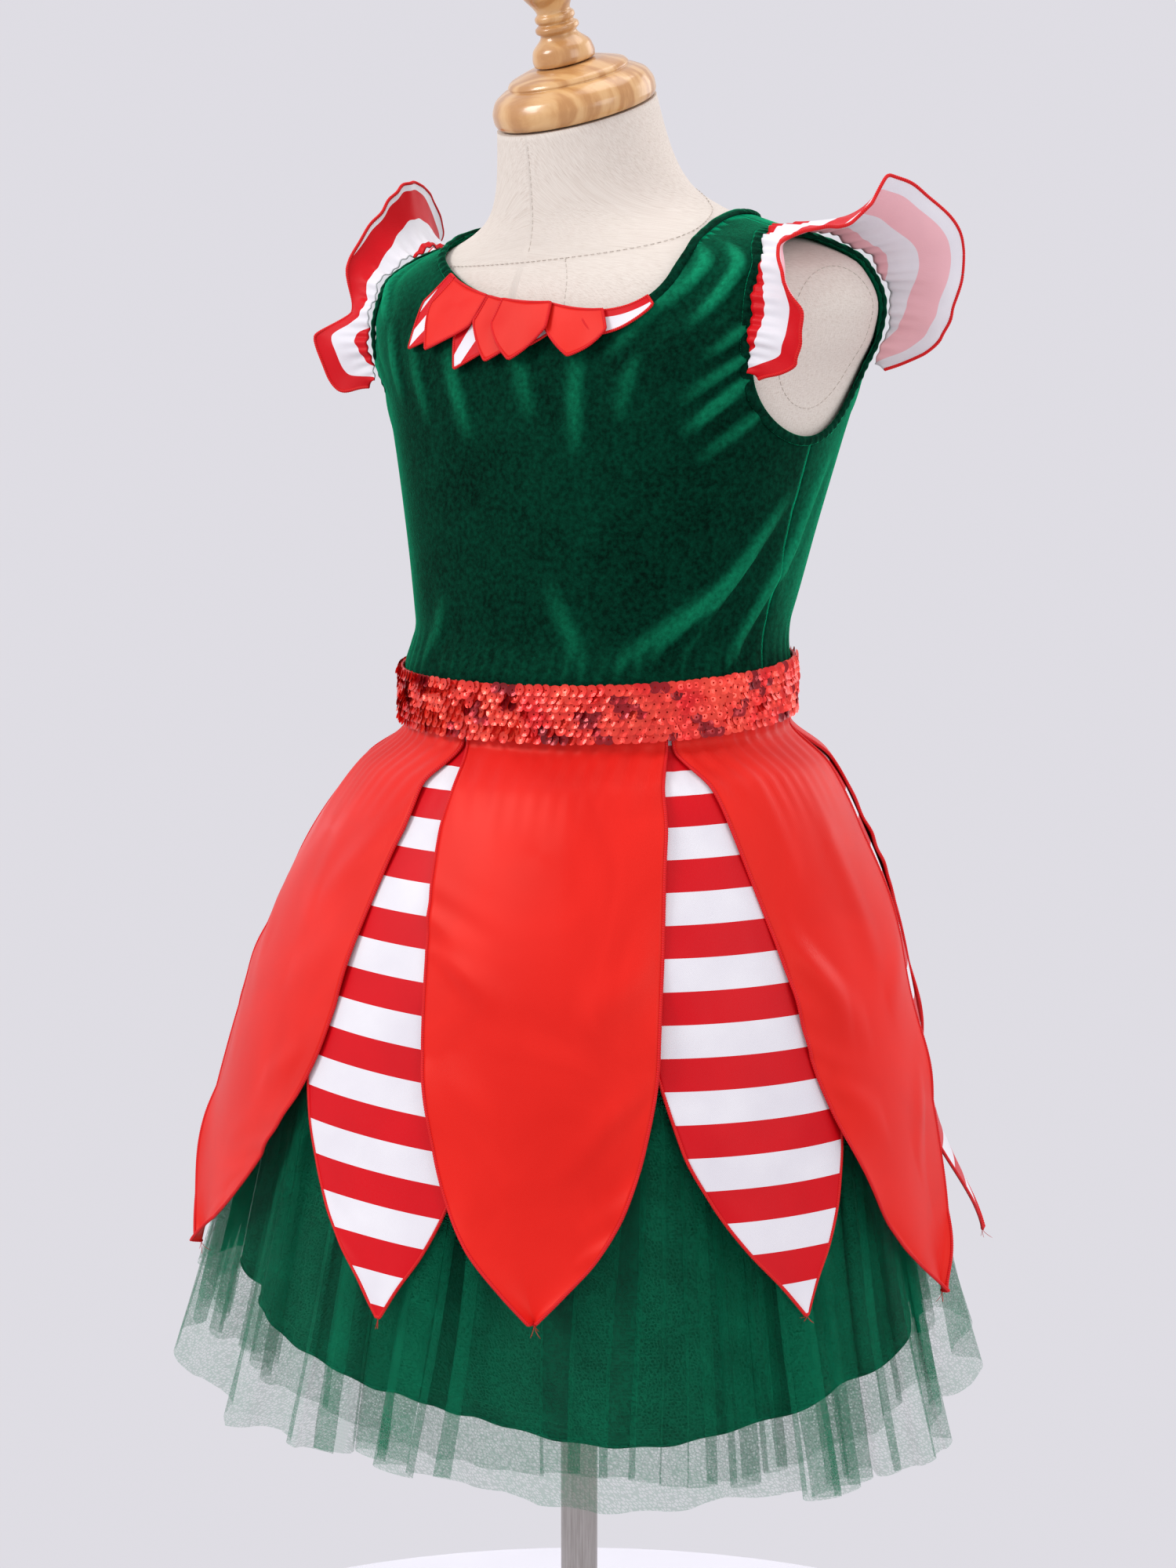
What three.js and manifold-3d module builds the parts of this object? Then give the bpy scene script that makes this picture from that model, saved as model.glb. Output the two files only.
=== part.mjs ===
// A child's sleeveless elf dress on a limbless dress form.
// Units are millimetres and +Z is up. The wearer's front faces -Y and the wearer's left is +X.
// The origin is the middle of the base plate's underside.

import * as THREE from 'three';
import { mergeVertices } from 'three/addons/utils/BufferGeometryUtils.js';
import Module from 'manifold-3d';

const wasm = await Module();
wasm.setup();

// Driving dimensions

const waistHeight = 690;
const seamGap = 0.35;
const velvetThickness = 1.5;
const netThickness = 1;
const satinThickness = 1;
const bindingThickness = 2.2;
const bindingWidth = 4.5;
const beltHeight = 26.5;
const beltThickness = 2;
const beltLean = 1;
const poleDiameter = 19;
const baseDiameter = 260;
const baseThickness = 10;
const capLean = 16.5;

// Colours

const velvetGreen = 0x0b4a2c;
const satinRed = 0xd92a22;
const stripeRed = 0xe8d8d8;
const sequinRed = 0xb01520;
const netGreen = 0x0a7a4c;
const liningGreen = 0x0c3a2a;
const linenBeige = 0xd8ccc0;
const honeyWood = 0xc98f55;
const steelGrey = 0x9a958f;

// Heights in every table are measured from the belt's top edge.

// The dress form: one row for each level.
// halfWidth is the half width across the shoulders' direction, middle is where the sides lie along Y,
// front and back are where the surface crosses the centre plane, lean tips the level forward in degrees.
const formLevels = [
  { height: -172, halfWidth: 92, middle: 8, front: -62, back: 78, squareness: 2.1, lean: 0 },
  { height: -166, halfWidth: 103, middle: 8, front: -71, back: 88, squareness: 2.1, lean: 0 },
  { height: -140, halfWidth: 109, middle: 7, front: -77, back: 93, squareness: 2.1, lean: 0 },
  { height: -90, halfWidth: 104, middle: 5, front: -76, back: 87, squareness: 2.15, lean: 0 },
  { height: -40, halfWidth: 91.5, middle: 6, front: -66.5, back: 77, squareness: 2.15, lean: 0 },
  { height: -28, halfWidth: 89.8, middle: 6.3, front: -65, back: 76, squareness: 2.15, lean: 0 },
  { height: -14, halfWidth: 89.3, middle: 6.3, front: -64.7, back: 76, squareness: 2.15, lean: 0 },
  { height: 0, halfWidth: 89.6, middle: 7, front: -64.8, back: 76.5, squareness: 2.15, lean: 0 },
  { height: 22, halfWidth: 95, middle: 12, front: -65, back: 86, squareness: 2.15, lean: 0 },
  { height: 62, halfWidth: 102, middle: 20, front: -64.5, back: 100.5, squareness: 2.2, lean: 0 },
  { height: 101, halfWidth: 110.5, middle: 28, front: -62.5, back: 114, squareness: 2.25, lean: 0 },
  { height: 120, halfWidth: 115, middle: 32.5, front: -61, back: 119.5, squareness: 2.3, lean: 0 },
  { height: 137, halfWidth: 122, middle: 36, front: -58.5, back: 121.5, squareness: 2.3, lean: 0 },
  { height: 152, halfWidth: 132, middle: 37, front: -54.5, back: 119.5, squareness: 2.2, lean: 0 },
  { height: 168, halfWidth: 138, middle: 37, front: -48.5, back: 112.5, squareness: 2.1, lean: 0 },
  { height: 183, halfWidth: 133, middle: 36, front: -41.5, back: 101.5, squareness: 2.05, lean: 0 },
  { height: 195, halfWidth: 112, middle: 34, front: -35, back: 88, squareness: 2, lean: 1 },
  { height: 203, halfWidth: 88, middle: 32, front: -31.5, back: 76, squareness: 2, lean: 3 },
  { height: 210, halfWidth: 70, middle: 29, front: -29.5, back: 66, squareness: 2, lean: 5 },
  { height: 217, halfWidth: 58, middle: 25, front: -28, back: 59, squareness: 2, lean: 7 },
  { height: 224, halfWidth: 50.5, middle: 20, front: -27.5, back: 55, squareness: 2, lean: 9 },
  { height: 234, halfWidth: 45, middle: 16, front: -27.5, back: 52, squareness: 2, lean: 11 },
  { height: 247, halfWidth: 41, middle: 12, front: -28, back: 50, squareness: 2, lean: 13 },
  { height: 262, halfWidth: 38, middle: 9, front: -29, back: 47, squareness: 2, lean: capLean },
];

// The overskirt: the surface that the red petals lie on.
const skirtLevels = [
  { height: -14, halfWidth: 98.7, middle: 6.3, front: -74.1, back: 85.4, squareness: 2.15, lean: 0 },
  { height: -30, halfWidth: 98.9, middle: 6.3, front: -74.3, back: 85.6, squareness: 2.15, lean: 0 },
  { height: -49, halfWidth: 123, middle: 4, front: -97, back: 106, squareness: 2, lean: 0 },
  { height: -81, halfWidth: 144, middle: 3, front: -115, back: 124, squareness: 2, lean: 0 },
  { height: -128, halfWidth: 166, middle: 1, front: -133, back: 145, squareness: 2, lean: 0 },
  { height: -184, halfWidth: 183, middle: -1, front: -149, back: 158, squareness: 2, lean: 0 },
  { height: -240, halfWidth: 196, middle: -3, front: -163, back: 170, squareness: 2, lean: 0 },
  { height: -290, halfWidth: 208, middle: -4, front: -176, back: 182, squareness: 2, lean: 0 },
  { height: -361, halfWidth: 226, middle: -5, front: -194, back: 200, squareness: 2, lean: 0 },
];

// The figure stands a little aslant on its pole: sway moves a level towards the wearer's left and slope is
// how much it rises to that side.
const aslantLevels = [
  { height: -361, sway: -6, slope: 0 },
  { height: -240, sway: -4, slope: 0 },
  { height: -172, sway: -2, slope: 0 },
  { height: -128, sway: 0, slope: 0.018 },
  { height: -81, sway: 3, slope: 0.036 },
  { height: -40, sway: 6, slope: 0.053 },
  { height: 0, sway: 6, slope: 0.053 },
  { height: 262, sway: -8, slope: 0.07 },
];

// How far each under layer's middle surface lies inside the red petals' surface, and how deep its folds are.
const outerTulleLevels = [
  { height: -14, inset: 3.9, foldDepth: 0 },
  { height: -30, inset: 3.9, foldDepth: 0 },
  { height: -49, inset: 5.2, foldDepth: 0.8 },
  { height: -81, inset: 6.8, foldDepth: 1.8 },
  { height: -128, inset: 8.2, foldDepth: 3 },
  { height: -184, inset: 9.4, foldDepth: 4 },
  { height: -240, inset: 10.4, foldDepth: 5 },
  { height: -290, inset: 11.2, foldDepth: 5.6 },
  { height: -361, inset: 10, foldDepth: 9 },
];

const innerTulleLevels = [
  { height: -14, inset: 5.8, foldDepth: 0 },
  { height: -30, inset: 5.8, foldDepth: 0 },
  { height: -49, inset: 8.3, foldDepth: 0.8 },
  { height: -81, inset: 12, foldDepth: 1.8 },
  { height: -128, inset: 15.6, foldDepth: 3 },
  { height: -184, inset: 19, foldDepth: 3.8 },
  { height: -240, inset: 21.6, foldDepth: 4.6 },
  { height: -290, inset: 23.6, foldDepth: 5 },
  { height: -361, inset: 26.5, foldDepth: 6 },
];

const liningLevels = [
  { height: -14, inset: 7.7, foldDepth: 0 },
  { height: -30, inset: 7.7, foldDepth: 0 },
  { height: -49, inset: 11.4, foldDepth: 0.6 },
  { height: -81, inset: 17, foldDepth: 1.6 },
  { height: -128, inset: 23, foldDepth: 2.8 },
  { height: -184, inset: 28.5, foldDepth: 4 },
  { height: -240, inset: 33, foldDepth: 5 },
  { height: -290, inset: 36.5, foldDepth: 6 },
  { height: -361, inset: 41, foldDepth: 7 },
];

// Petals of the overskirt. centre is the bearing at the belt in degrees from the centre front towards the
// wearer's left, span is the part of the waist that it fills, swing and tipSkew move the lower half, tip is
// the tip's height and wide is this petal's width beside the outline below. flare lifts a tip outwards.
const redPetals = [
  { name: 'right_front', centre: -40.2, span: 61.6, swing: 12, tip: -290, tipSkew: -30, wave: 2.5, wide: 1.2 },
  { name: 'centre', centre: 22.5, span: 63.8, swing: 7, tip: -275, tipSkew: -3, wave: 1, wide: 1.07 },
  { name: 'left', centre: 84.2, span: 59.6, swing: 13, tip: -288, tipSkew: 6, wave: 1.5, wide: 1 },
  { name: 'left_back', centre: 143, span: 58, swing: 9, tip: -284, tipSkew: 3, wave: 2.5, wide: 1 },
  { name: 'back', centre: 201, span: 58, swing: 5, tip: -290, tipSkew: -4, wave: 2, wide: 1.02 },
  { name: 'right_back', centre: 259.5, span: 59, swing: 1, tip: -286, tipSkew: 4, wave: 2, wide: 1 },
];

const stripedPetals = [
  { name: 'right_front', centre: -9.4, span: 56, swing: 15, tip: -284, tipSkew: 1, wave: 0.8, wide: 1, flare: 0 },
  { name: 'left_front', centre: 54.4, span: 56, swing: 13, tip: -275, tipSkew: 3, wave: 0.8, wide: 0.97, flare: 0 },
  { name: 'left', centre: 114, span: 54, swing: 12, tip: -293, tipSkew: 5, wave: 1, wide: 1, flare: 13 },
  { name: 'left_back', centre: 172, span: 54, swing: 8, tip: -285, tipSkew: -3, wave: 1, wide: 1, flare: 4 },
  { name: 'right_back', centre: 230, span: 54, swing: 4, tip: -288, tipSkew: 2, wave: 1, wide: 1, flare: 2 },
  { name: 'right', centre: 289, span: 54, swing: 1, tip: -290, tipSkew: -2, wave: 1, wide: 1, flare: 5 },
];

// Half width of a petal along its length, from the belt (0) to the tip (1).
const petalOutline = [
  { along: 0, red: 47, striped: 42 },
  { along: 0.2, red: 50, striped: 44 },
  { along: 0.4, red: 51.5, striped: 47 },
  { along: 0.55, red: 51, striped: 49 },
  { along: 0.7, red: 45.5, striped: 45.5 },
  { along: 0.8, red: 38.5, striped: 36 },
  { along: 0.88, red: 28, striped: 24 },
  { along: 0.95, red: 13, striped: 10 },
  { along: 1, red: 1.2, striped: 1.2 },
];

// Flutter sleeves: the free edge measured from the gathered seam. angle goes round the armhole from its
// top, minus to the front; out is sideways from the body, aft is towards the back, up is upwards.
const leftSleeve = [
  { angle: -104, out: 5, aft: 0, up: -3 },
  { angle: -90, out: 27, aft: -2, up: -7 },
  { angle: -70, out: 31, aft: -6, up: -4 },
  { angle: -50, out: 24, aft: -17, up: -3 },
  { angle: -35, out: 22, aft: -20, up: 0 },
  { angle: -20, out: 31, aft: -13, up: 2 },
  { angle: -5, out: 41, aft: -4, up: 1 },
  { angle: 8, out: 43, aft: 0, up: 10 },
  { angle: 20, out: 38, aft: 6, up: 25 },
  { angle: 35, out: 38, aft: 13, up: 20 },
  { angle: 52, out: 36, aft: 19, up: 8 },
  { angle: 70, out: 29, aft: 10, up: -4 },
  { angle: 88, out: 24, aft: 5, up: -5 },
  { angle: 104, out: 5, aft: 1, up: -3 },
];

const rightSleeve = [
  { angle: -104, out: 5, aft: 0, up: -4 },
  { angle: -95, out: 22, aft: -2, up: -13 },
  { angle: -80, out: 33, aft: -3, up: -1 },
  { angle: -67, out: 15, aft: 4, up: 0 },
  { angle: -50, out: 17, aft: -3, up: 10 },
  { angle: -30, out: 17, aft: 0, up: 22 },
  { angle: -8, out: 18, aft: 3, up: 32 },
  { angle: 10, out: 19, aft: 9, up: 27 },
  { angle: 30, out: 18, aft: 17, up: 14 },
  { angle: 52, out: 34, aft: 20, up: 6 },
  { angle: 70, out: 38, aft: 10, up: -4 },
  { angle: 88, out: 26, aft: 6, up: -6 },
  { angle: 104, out: 5, aft: 1, up: -3 },
];

// Small petals of the neck trim. start and end are bearings round the neckline from the centre front,
// drop is how far the petal hangs, low is where its lowest point lies from start (0) to end (1).
const trimPetals = [
  { name: 'trim_1_striped', start: -54, end: -36, drop: 38, low: 0.4, layer: 0, kind: 'striped' },
  { name: 'trim_2_red', start: -49, end: -29, drop: 33, low: 0.45, layer: 1, kind: 'red' },
  { name: 'trim_3_striped', start: -35, end: -16, drop: 35, low: 0.4, layer: 0, kind: 'striped' },
  { name: 'trim_4_red', start: -28, end: -7, drop: 28, low: 0.5, layer: 1, kind: 'red' },
  { name: 'trim_5_red', start: -20, end: 1, drop: 26, low: 0.5, layer: 2, kind: 'red' },
  { name: 'trim_6_striped', start: -15, end: 5, drop: 19, low: 0.5, layer: 0, kind: 'striped' },
  { name: 'trim_7_red', start: -1, end: 23, drop: 22, low: 0.4, layer: 1, kind: 'red' },
  { name: 'trim_8_striped', start: 14, end: 45, drop: 12, low: 0.12, layer: 0, kind: 'striped' },
];

// Neckline and armholes

// The neckline hangs unevenly: aside moves its front towards the wearer's left and leftDrop lowers that side.
const neckline = { ridgeHeight: 209, frontLow: 172, backLow: 204, middle: 20, aside: 26, leftDrop: 9 };
const armhole = { y: 25, height: 152, halfDepth: 40, halfHeight: 44 };

// Offsets of middle surfaces from the dress form

const bodiceOffset = 1.9;
const bodiceWaistOffset = 9.4;
const bindingOffset = 3;
const sleeveRootOffset = 5.7;
const trimOffset = 5.1;
const trimLayerStep = 1.5;
const beltOffset = 12;

const stripedInset = 2.1;

// Small helpers

const radians = THREE.MathUtils.degToRad;
const blend = THREE.MathUtils.lerp;
const smooth = THREE.MathUtils.smoothstep;

// Smooth reading of one column of a table, with no overshoot between rows.
function column(table, key, name) {
  const rows = [...table].sort((a, b) => a[key] - b[key]);
  const at = rows.map((row) => row[key]);
  const value = rows.map((row) => row[name]);
  const last = rows.length - 1;
  const step = at.slice(1).map((x, i) => (value[i + 1] - value[i]) / (x - at[i]));
  const slope = value.map((_, i) => {
    if (i === 0) return step[0];
    if (i === last) return step[last - 1];
    const before = step[i - 1];
    const after = step[i];
    return before * after <= 0 ? 0 : (2 * before * after) / (before + after);
  });
  return (x) => {
    const place = Math.min(Math.max(x, at[0]), at[last]);
    let i = 0;
    while (i < last - 1 && place > at[i + 1]) i += 1;
    const width = at[i + 1] - at[i];
    const t = (place - at[i]) / width;
    const start = (1 + 2 * t) * (1 - t) ** 2 * value[i] + t * (1 - t) ** 2 * width * slope[i];
    const end = t * t * (3 - 2 * t) * value[i + 1] + t * t * (t - 1) * width * slope[i + 1];
    return start + end;
  };
}

function columns(table, key) {
  const names = Object.keys(table[0]).filter((name) => name !== key && typeof table[0][name] === 'number');
  const readers = Object.fromEntries(names.map((name) => [name, column(table, key, name)]));
  return (x) => Object.fromEntries(names.map((name) => [name, readers[name](x)]));
}

const formAt = columns(formLevels, 'height');
const skirtAt = columns(skirtLevels, 'height');
const outlineAt = columns(petalOutline, 'along');
const aslantAt = columns(aslantLevels, 'height');

const signedPower = (x, p) => Math.sign(x) * Math.abs(x) ** p;

// A point of a rounded level. The bearing is in radians from the centre front towards the wearer's left.
function levelPoint(level, bearing, height) {
  const power = 2 / level.squareness;
  const x = level.halfWidth * signedPower(Math.sin(bearing), power);
  const along = signedPower(Math.cos(bearing), power);
  const depth = along > 0 ? level.middle - level.front : level.back - level.middle;
  const y = level.middle - depth * along;
  const { sway, slope } = aslantAt(height);
  const z = height + (y - level.middle) * Math.tan(radians(level.lean)) + x * slope;
  return new THREE.Vector3(x + sway, y, z);
}

const formPoint = (bearing, height) => levelPoint(formAt(height), bearing, height);
const skirtPoint = (bearing, height) => levelPoint(skirtAt(height), bearing, height);

// A point moved out from a surface along its normal.
function movedOut(surface, bearing, height, offset) {
  const small = 0.01;
  const alongTurn = surface(bearing + small, height).sub(surface(bearing - small, height));
  const alongHeight = surface(bearing, height + 1).sub(surface(bearing, height - 1));
  const normal = alongTurn.cross(alongHeight).normalize();
  return surface(bearing, height).addScaledVector(normal, offset);
}

// Closed geometry from a grid of points

function geometryFrom(points, faces) {
  let volume = 0;
  for (const [a, b, c] of faces) {
    volume += points[a].dot(new THREE.Vector3().crossVectors(points[b], points[c]));
  }
  const outward = volume > 0 ? faces : faces.map(([a, b, c]) => [a, c, b]);
  const geometry = new THREE.BufferGeometry();
  geometry.setAttribute('position', new THREE.Float32BufferAttribute(points.flatMap((p) => p.toArray()), 3));
  geometry.setIndex(outward.flat());
  return geometry;
}

const quad = (a, b, c, d) => [[a, b, c], [a, c, d]];

// A cloth wall. point(i, j, side) gives the outer (side 1) and inner (side -1) points of a grid.
// A round wall closes on itself; an open one has rims on all four sides.
function clothWall({ across, along, round, point }) {
  const wide = round ? across : across + 1;
  const points = [];
  for (const side of [1, -1]) {
    for (let j = 0; j <= along; j += 1) {
      for (let i = 0; i < wide; i += 1) points.push(point(i, j, side));
    }
  }
  const layer = wide * (along + 1);
  const outer = (i, j) => j * wide + (i % wide);
  const inner = (i, j) => layer + outer(i, j);
  const faces = [];
  for (let i = 0; i < across; i += 1) {
    for (let j = 0; j < along; j += 1) {
      faces.push(...quad(outer(i, j), outer(i + 1, j), outer(i + 1, j + 1), outer(i, j + 1)));
      faces.push(...quad(inner(i, j), inner(i, j + 1), inner(i + 1, j + 1), inner(i + 1, j)));
    }
    faces.push(...quad(outer(i + 1, 0), outer(i, 0), inner(i, 0), inner(i + 1, 0)));
    faces.push(...quad(outer(i, along), outer(i + 1, along), inner(i + 1, along), inner(i, along)));
  }
  if (!round) {
    for (let j = 0; j < along; j += 1) {
      faces.push(...quad(outer(0, j), outer(0, j + 1), inner(0, j + 1), inner(0, j)));
      faces.push(...quad(outer(across, j + 1), outer(across, j), inner(across, j), inner(across, j + 1)));
    }
  }
  return geometryFrom(points, faces);
}

// A solid through stacked rings, closed at both ends to a middle point.
function ringSolid({ around, levels, point, bottomMiddle, topMiddle }) {
  const points = [];
  for (let j = 0; j < levels; j += 1) {
    for (let i = 0; i < around; i += 1) points.push(point(i, j));
  }
  const ringMiddle = (j) => {
    const sum = new THREE.Vector3();
    for (let i = 0; i < around; i += 1) sum.add(points[j * around + i]);
    return sum.divideScalar(around);
  };
  const bottom = points.push(bottomMiddle ?? ringMiddle(0)) - 1;
  const top = points.push(topMiddle ?? ringMiddle(levels - 1)) - 1;
  const at = (i, j) => j * around + (i % around);
  const faces = [];
  for (let i = 0; i < around; i += 1) {
    for (let j = 0; j < levels - 1; j += 1) {
      faces.push(...quad(at(i, j), at(i + 1, j), at(i + 1, j + 1), at(i, j + 1)));
    }
    faces.push([bottom, at(i + 1, 0), at(i, 0)]);
    faces.push([top, at(i, levels - 1), at(i + 1, levels - 1)]);
  }
  return geometryFrom(points, faces);
}

// Cuts and joins

function solidOf(geometry) {
  const merged = mergeVertices(geometry, 1e-4);
  return new wasm.Manifold(new wasm.Mesh({
    numProp: 3,
    vertProperties: new Float32Array(merged.attributes.position.array),
    triVerts: new Uint32Array(merged.index.array),
  }));
}

function geometryOf(solid) {
  const mesh = solid.getMesh();
  const geometry = new THREE.BufferGeometry();
  geometry.setAttribute('position', new THREE.BufferAttribute(new Float32Array(mesh.vertProperties), 3));
  geometry.setIndex(new THREE.BufferAttribute(new Uint32Array(mesh.triVerts), 1));
  return geometry;
}

// Neckline

const ridgeHalfWidth = formAt(neckline.ridgeHeight).halfWidth;

// The height at which the shoulder ridge is this far from the centre plane.
function ridgeHeightAt(halfWidth) {
  let low = 168;
  let high = 260;
  for (let i = 0; i < 40; i += 1) {
    const middle = (low + high) / 2;
    if (formAt(middle).halfWidth > halfWidth) low = middle;
    else high = middle;
  }
  return (low + high) / 2;
}

// Across and height of a point on the neckline, grown outwards from the free edge.
function neckOutline(turn, grow) {
  const ridge = ridgeHeightAt(ridgeHalfWidth + grow);
  const isFront = Math.cos(turn) >= 0;
  const lowest = (isFront ? neckline.frontLow : neckline.backLow) - grow;
  const inFront = Math.max(Math.cos(turn), 0);
  const x = (ridgeHalfWidth + grow) * Math.sin(turn) + neckline.aside * inFront ** 0.75;
  const drop = isFront ? neckline.leftDrop * Math.max(Math.sin(2 * turn), 0) : 0;
  return { x, height: ridge - (ridge - lowest) * Math.abs(Math.cos(turn)) - drop };
}

// The bearing on the form at which a level is this far from the centre plane.
function bearingAcross(x, height, isFront) {
  const level = formAt(height);
  const share = Math.min(Math.abs(x) / level.halfWidth, 1) ** (level.squareness / 2);
  const angle = Math.asin(share);
  return Math.sign(x) * (isFront ? angle : Math.PI - angle);
}

function neckPoint(turn, grow, offset) {
  const { x, height } = neckOutline(turn, grow);
  return movedOut(formPoint, bearingAcross(x, height, Math.cos(turn) >= 0), height, offset);
}

// Armholes

function armOutline(angle, grow) {
  return {
    y: armhole.y + (armhole.halfDepth + grow) * Math.sin(angle),
    height: armhole.height + (armhole.halfHeight + grow) * Math.cos(angle),
  };
}

function armPoint(side, angle, grow, offset) {
  const { y, height } = armOutline(angle, grow);
  const level = formAt(height);
  const isFront = y < level.middle;
  const depth = isFront ? level.middle - level.front : level.back - level.middle;
  const share = Math.min(Math.abs(level.middle - y) / depth, 1) ** (level.squareness / 2);
  const bearing = isFront ? Math.acos(share) : Math.PI - Math.acos(share);
  return movedOut(formPoint, side * bearing, height, offset);
}

// Bodice

// The form and the bodice share these levels and bearings, so that their walls stay parallel.
const bodiceHeights = [-13.7, 0, 22, 60, 100, 125, 150, 168, 183, 195, 203, 209, 215];
const bodiceRows = bodiceHeights.length - 1;
const bodiceColumns = 18;
const torsoAround = 2 * bodiceColumns;

function bodiceMiddle(height) {
  return blend(bodiceWaistOffset, bodiceOffset, smooth(height, -2, 22));
}

// The bearing of the side and shoulder seams, just short of the side so that the seam has its gap.
function seamBearing(height, isFront) {
  const level = formAt(height);
  const depth = isFront ? level.middle - level.front : level.back - level.middle;
  return Math.acos((seamGap / 2 / depth) ** (level.squareness / 2));
}

function bodicePanel(isFront) {
  return clothWall({
    across: bodiceColumns,
    along: bodiceRows,
    round: false,
    point: (i, j, side) => {
      const height = bodiceHeights[j];
      const reach = seamBearing(height, isFront);
      const even = Math.PI * (i / bodiceColumns - 0.5);
      const bearing = Math.min(Math.max(even, -reach), reach);
      const turned = isFront ? bearing : Math.PI + bearing;
      return movedOut(formPoint, turned, height, bodiceMiddle(height) + side * velvetThickness / 2);
    },
  });
}

// Cutters have walls square to the form's surface, so that a binding fits its edge all round.
const cutterInside = -3;
const cutterOutside = 9;
const cutterGrow = bindingWidth + seamGap;

function neckCutter() {
  const around = 56;
  const ceiling = 262;
  return solidOf(ringSolid({
    around,
    levels: 3,
    point: (i, j) => {
      const turn = (i / around) * 2 * Math.PI;
      const point = neckPoint(turn, cutterGrow, j === 0 ? cutterInside : cutterOutside);
      if (j === 2) point.z = ceiling;
      return point;
    },
    bottomMiddle: new THREE.Vector3(0, neckline.middle, neckline.frontLow + 24),
    topMiddle: new THREE.Vector3(0, neckline.middle, ceiling),
  }));
}

function armCutter(side) {
  const around = 36;
  return solidOf(ringSolid({
    around,
    levels: 2,
    point: (i, j) => {
      const angle = (i / around) * 2 * Math.PI;
      return armPoint(side, angle, cutterGrow, j === 0 ? cutterInside : cutterOutside);
    },
    bottomMiddle: new THREE.Vector3(side * 50, armhole.y, armhole.height),
    topMiddle: new THREE.Vector3(side * 240, armhole.y, armhole.height),
  }));
}

function bodiceGeometry(isFront) {
  let solid = solidOf(bodicePanel(isFront));
  for (const cutter of [neckCutter(), armCutter(1), armCutter(-1)]) {
    solid = solid.subtract(cutter);
  }
  return geometryOf(solid);
}

// Bindings: flat bands whose free edge is the opening

function neckBindingGeometry() {
  const around = 48;
  return clothWall({
    across: around,
    along: 1,
    round: true,
    point: (i, j, side) => {
      const turn = (i / around) * 2 * Math.PI;
      return neckPoint(turn, j * bindingWidth, bindingOffset + side * bindingThickness / 2);
    },
  });
}

function armBindingGeometry(side) {
  const around = 36;
  return clothWall({
    across: around,
    along: 1,
    round: true,
    point: (i, j, face) => {
      const angle = (i / around) * 2 * Math.PI;
      return armPoint(side, angle, j * bindingWidth, bindingOffset + face * bindingThickness / 2);
    },
  });
}

// Flutter sleeves

const sleeveGathers = 11;
const gatherDepth = 1.2;

function sleeveGeometry(side, table) {
  const edgeAt = columns(table, 'angle');
  const first = table[0].angle;
  const last = table[table.length - 1].angle;
  const across = 44;
  const along = 4;
  const middle = (u, t) => {
    const degrees = blend(first, last, u);
    const angle = radians(degrees);
    const root = armPoint(side, angle, bindingWidth / 2, sleeveRootOffset);
    const edge = edgeAt(degrees);
    const leave = t + 0.2 * Math.sin(Math.PI * t);
    const bend = t ** 1.4;
    const gather = gatherDepth * (1 - t) ** 1.5 * Math.cos(2 * Math.PI * sleeveGathers * u);
    return new THREE.Vector3(
      root.x + side * edge.out * leave,
      root.y + edge.aft * bend + gather * Math.sin(angle),
      root.z + edge.up * bend + gather * Math.cos(angle),
    );
  };
  return clothWall({
    across,
    along,
    round: false,
    point: (i, j, face) => {
      const u = i / across;
      const t = j / along;
      const turn = middle(Math.min(u + 0.004, 1), t).sub(middle(Math.max(u - 0.004, 0), t));
      const reach = middle(u, Math.min(t + 0.02, 1)).sub(middle(u, Math.max(t - 0.02, 0)));
      const normal = turn.cross(reach).normalize();
      return middle(u, t).addScaledVector(normal, face * satinThickness / 2);
    },
  });
}

// Neck trim

function trimGeometry({ start, end, drop, low, layer }) {
  const across = 5;
  const along = 2;
  const offset = trimOffset + layer * trimLayerStep;
  return clothWall({
    across,
    along,
    round: false,
    point: (i, j, side) => {
      const u = i / across;
      const rounded = u < low ? u / low : (1 - u) / (1 - low);
      const reach = drop * (0.45 + 0.55 * rounded ** 0.85);
      const turn = radians(blend(start, end, u));
      return neckPoint(turn, 1 + (reach - 1) * (j / along), offset + side * satinThickness / 2);
    },
  });
}

// Belt

function beltGeometry() {
  const around = 2 * bodiceColumns;
  return clothWall({
    across: around,
    along: 1,
    round: true,
    point: (i, j, side) => {
      const bearing = (i / around) * 2 * Math.PI;
      const point = movedOut(formPoint, bearing, -14, beltOffset + side * beltThickness / 2);
      const { slope } = aslantAt(0);
      point.z = point.y * Math.tan(radians(beltLean)) + point.x * slope - j * beltHeight;
      return point;
    },
  });
}

// Skirt layers

// Folds of uneven width: the bearing is warped before the wave is read.
function fold(bearing, count, shift) {
  const warped = bearing + 0.11 * Math.sin(3 * bearing + shift) + 0.07 * Math.sin(5 * bearing + 2 * shift);
  return Math.cos(count * warped + shift);
}

const hemWave = (bearing, depth, shift) =>
  depth * (0.6 * Math.sin(3 * bearing + shift) + 0.4 * Math.sin(7 * bearing + 2 * shift));

// The hems hang lowest at this bearing and rise a little to the far side.
const lowestHem = radians(38);
const hemRise = 22;

// All skirt layers and petals have rows at these heights, so that their walls stay apart.
const skirtHeights = [-30, -49, -81, -128, -195, -262];
const layerTop = -15;

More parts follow.
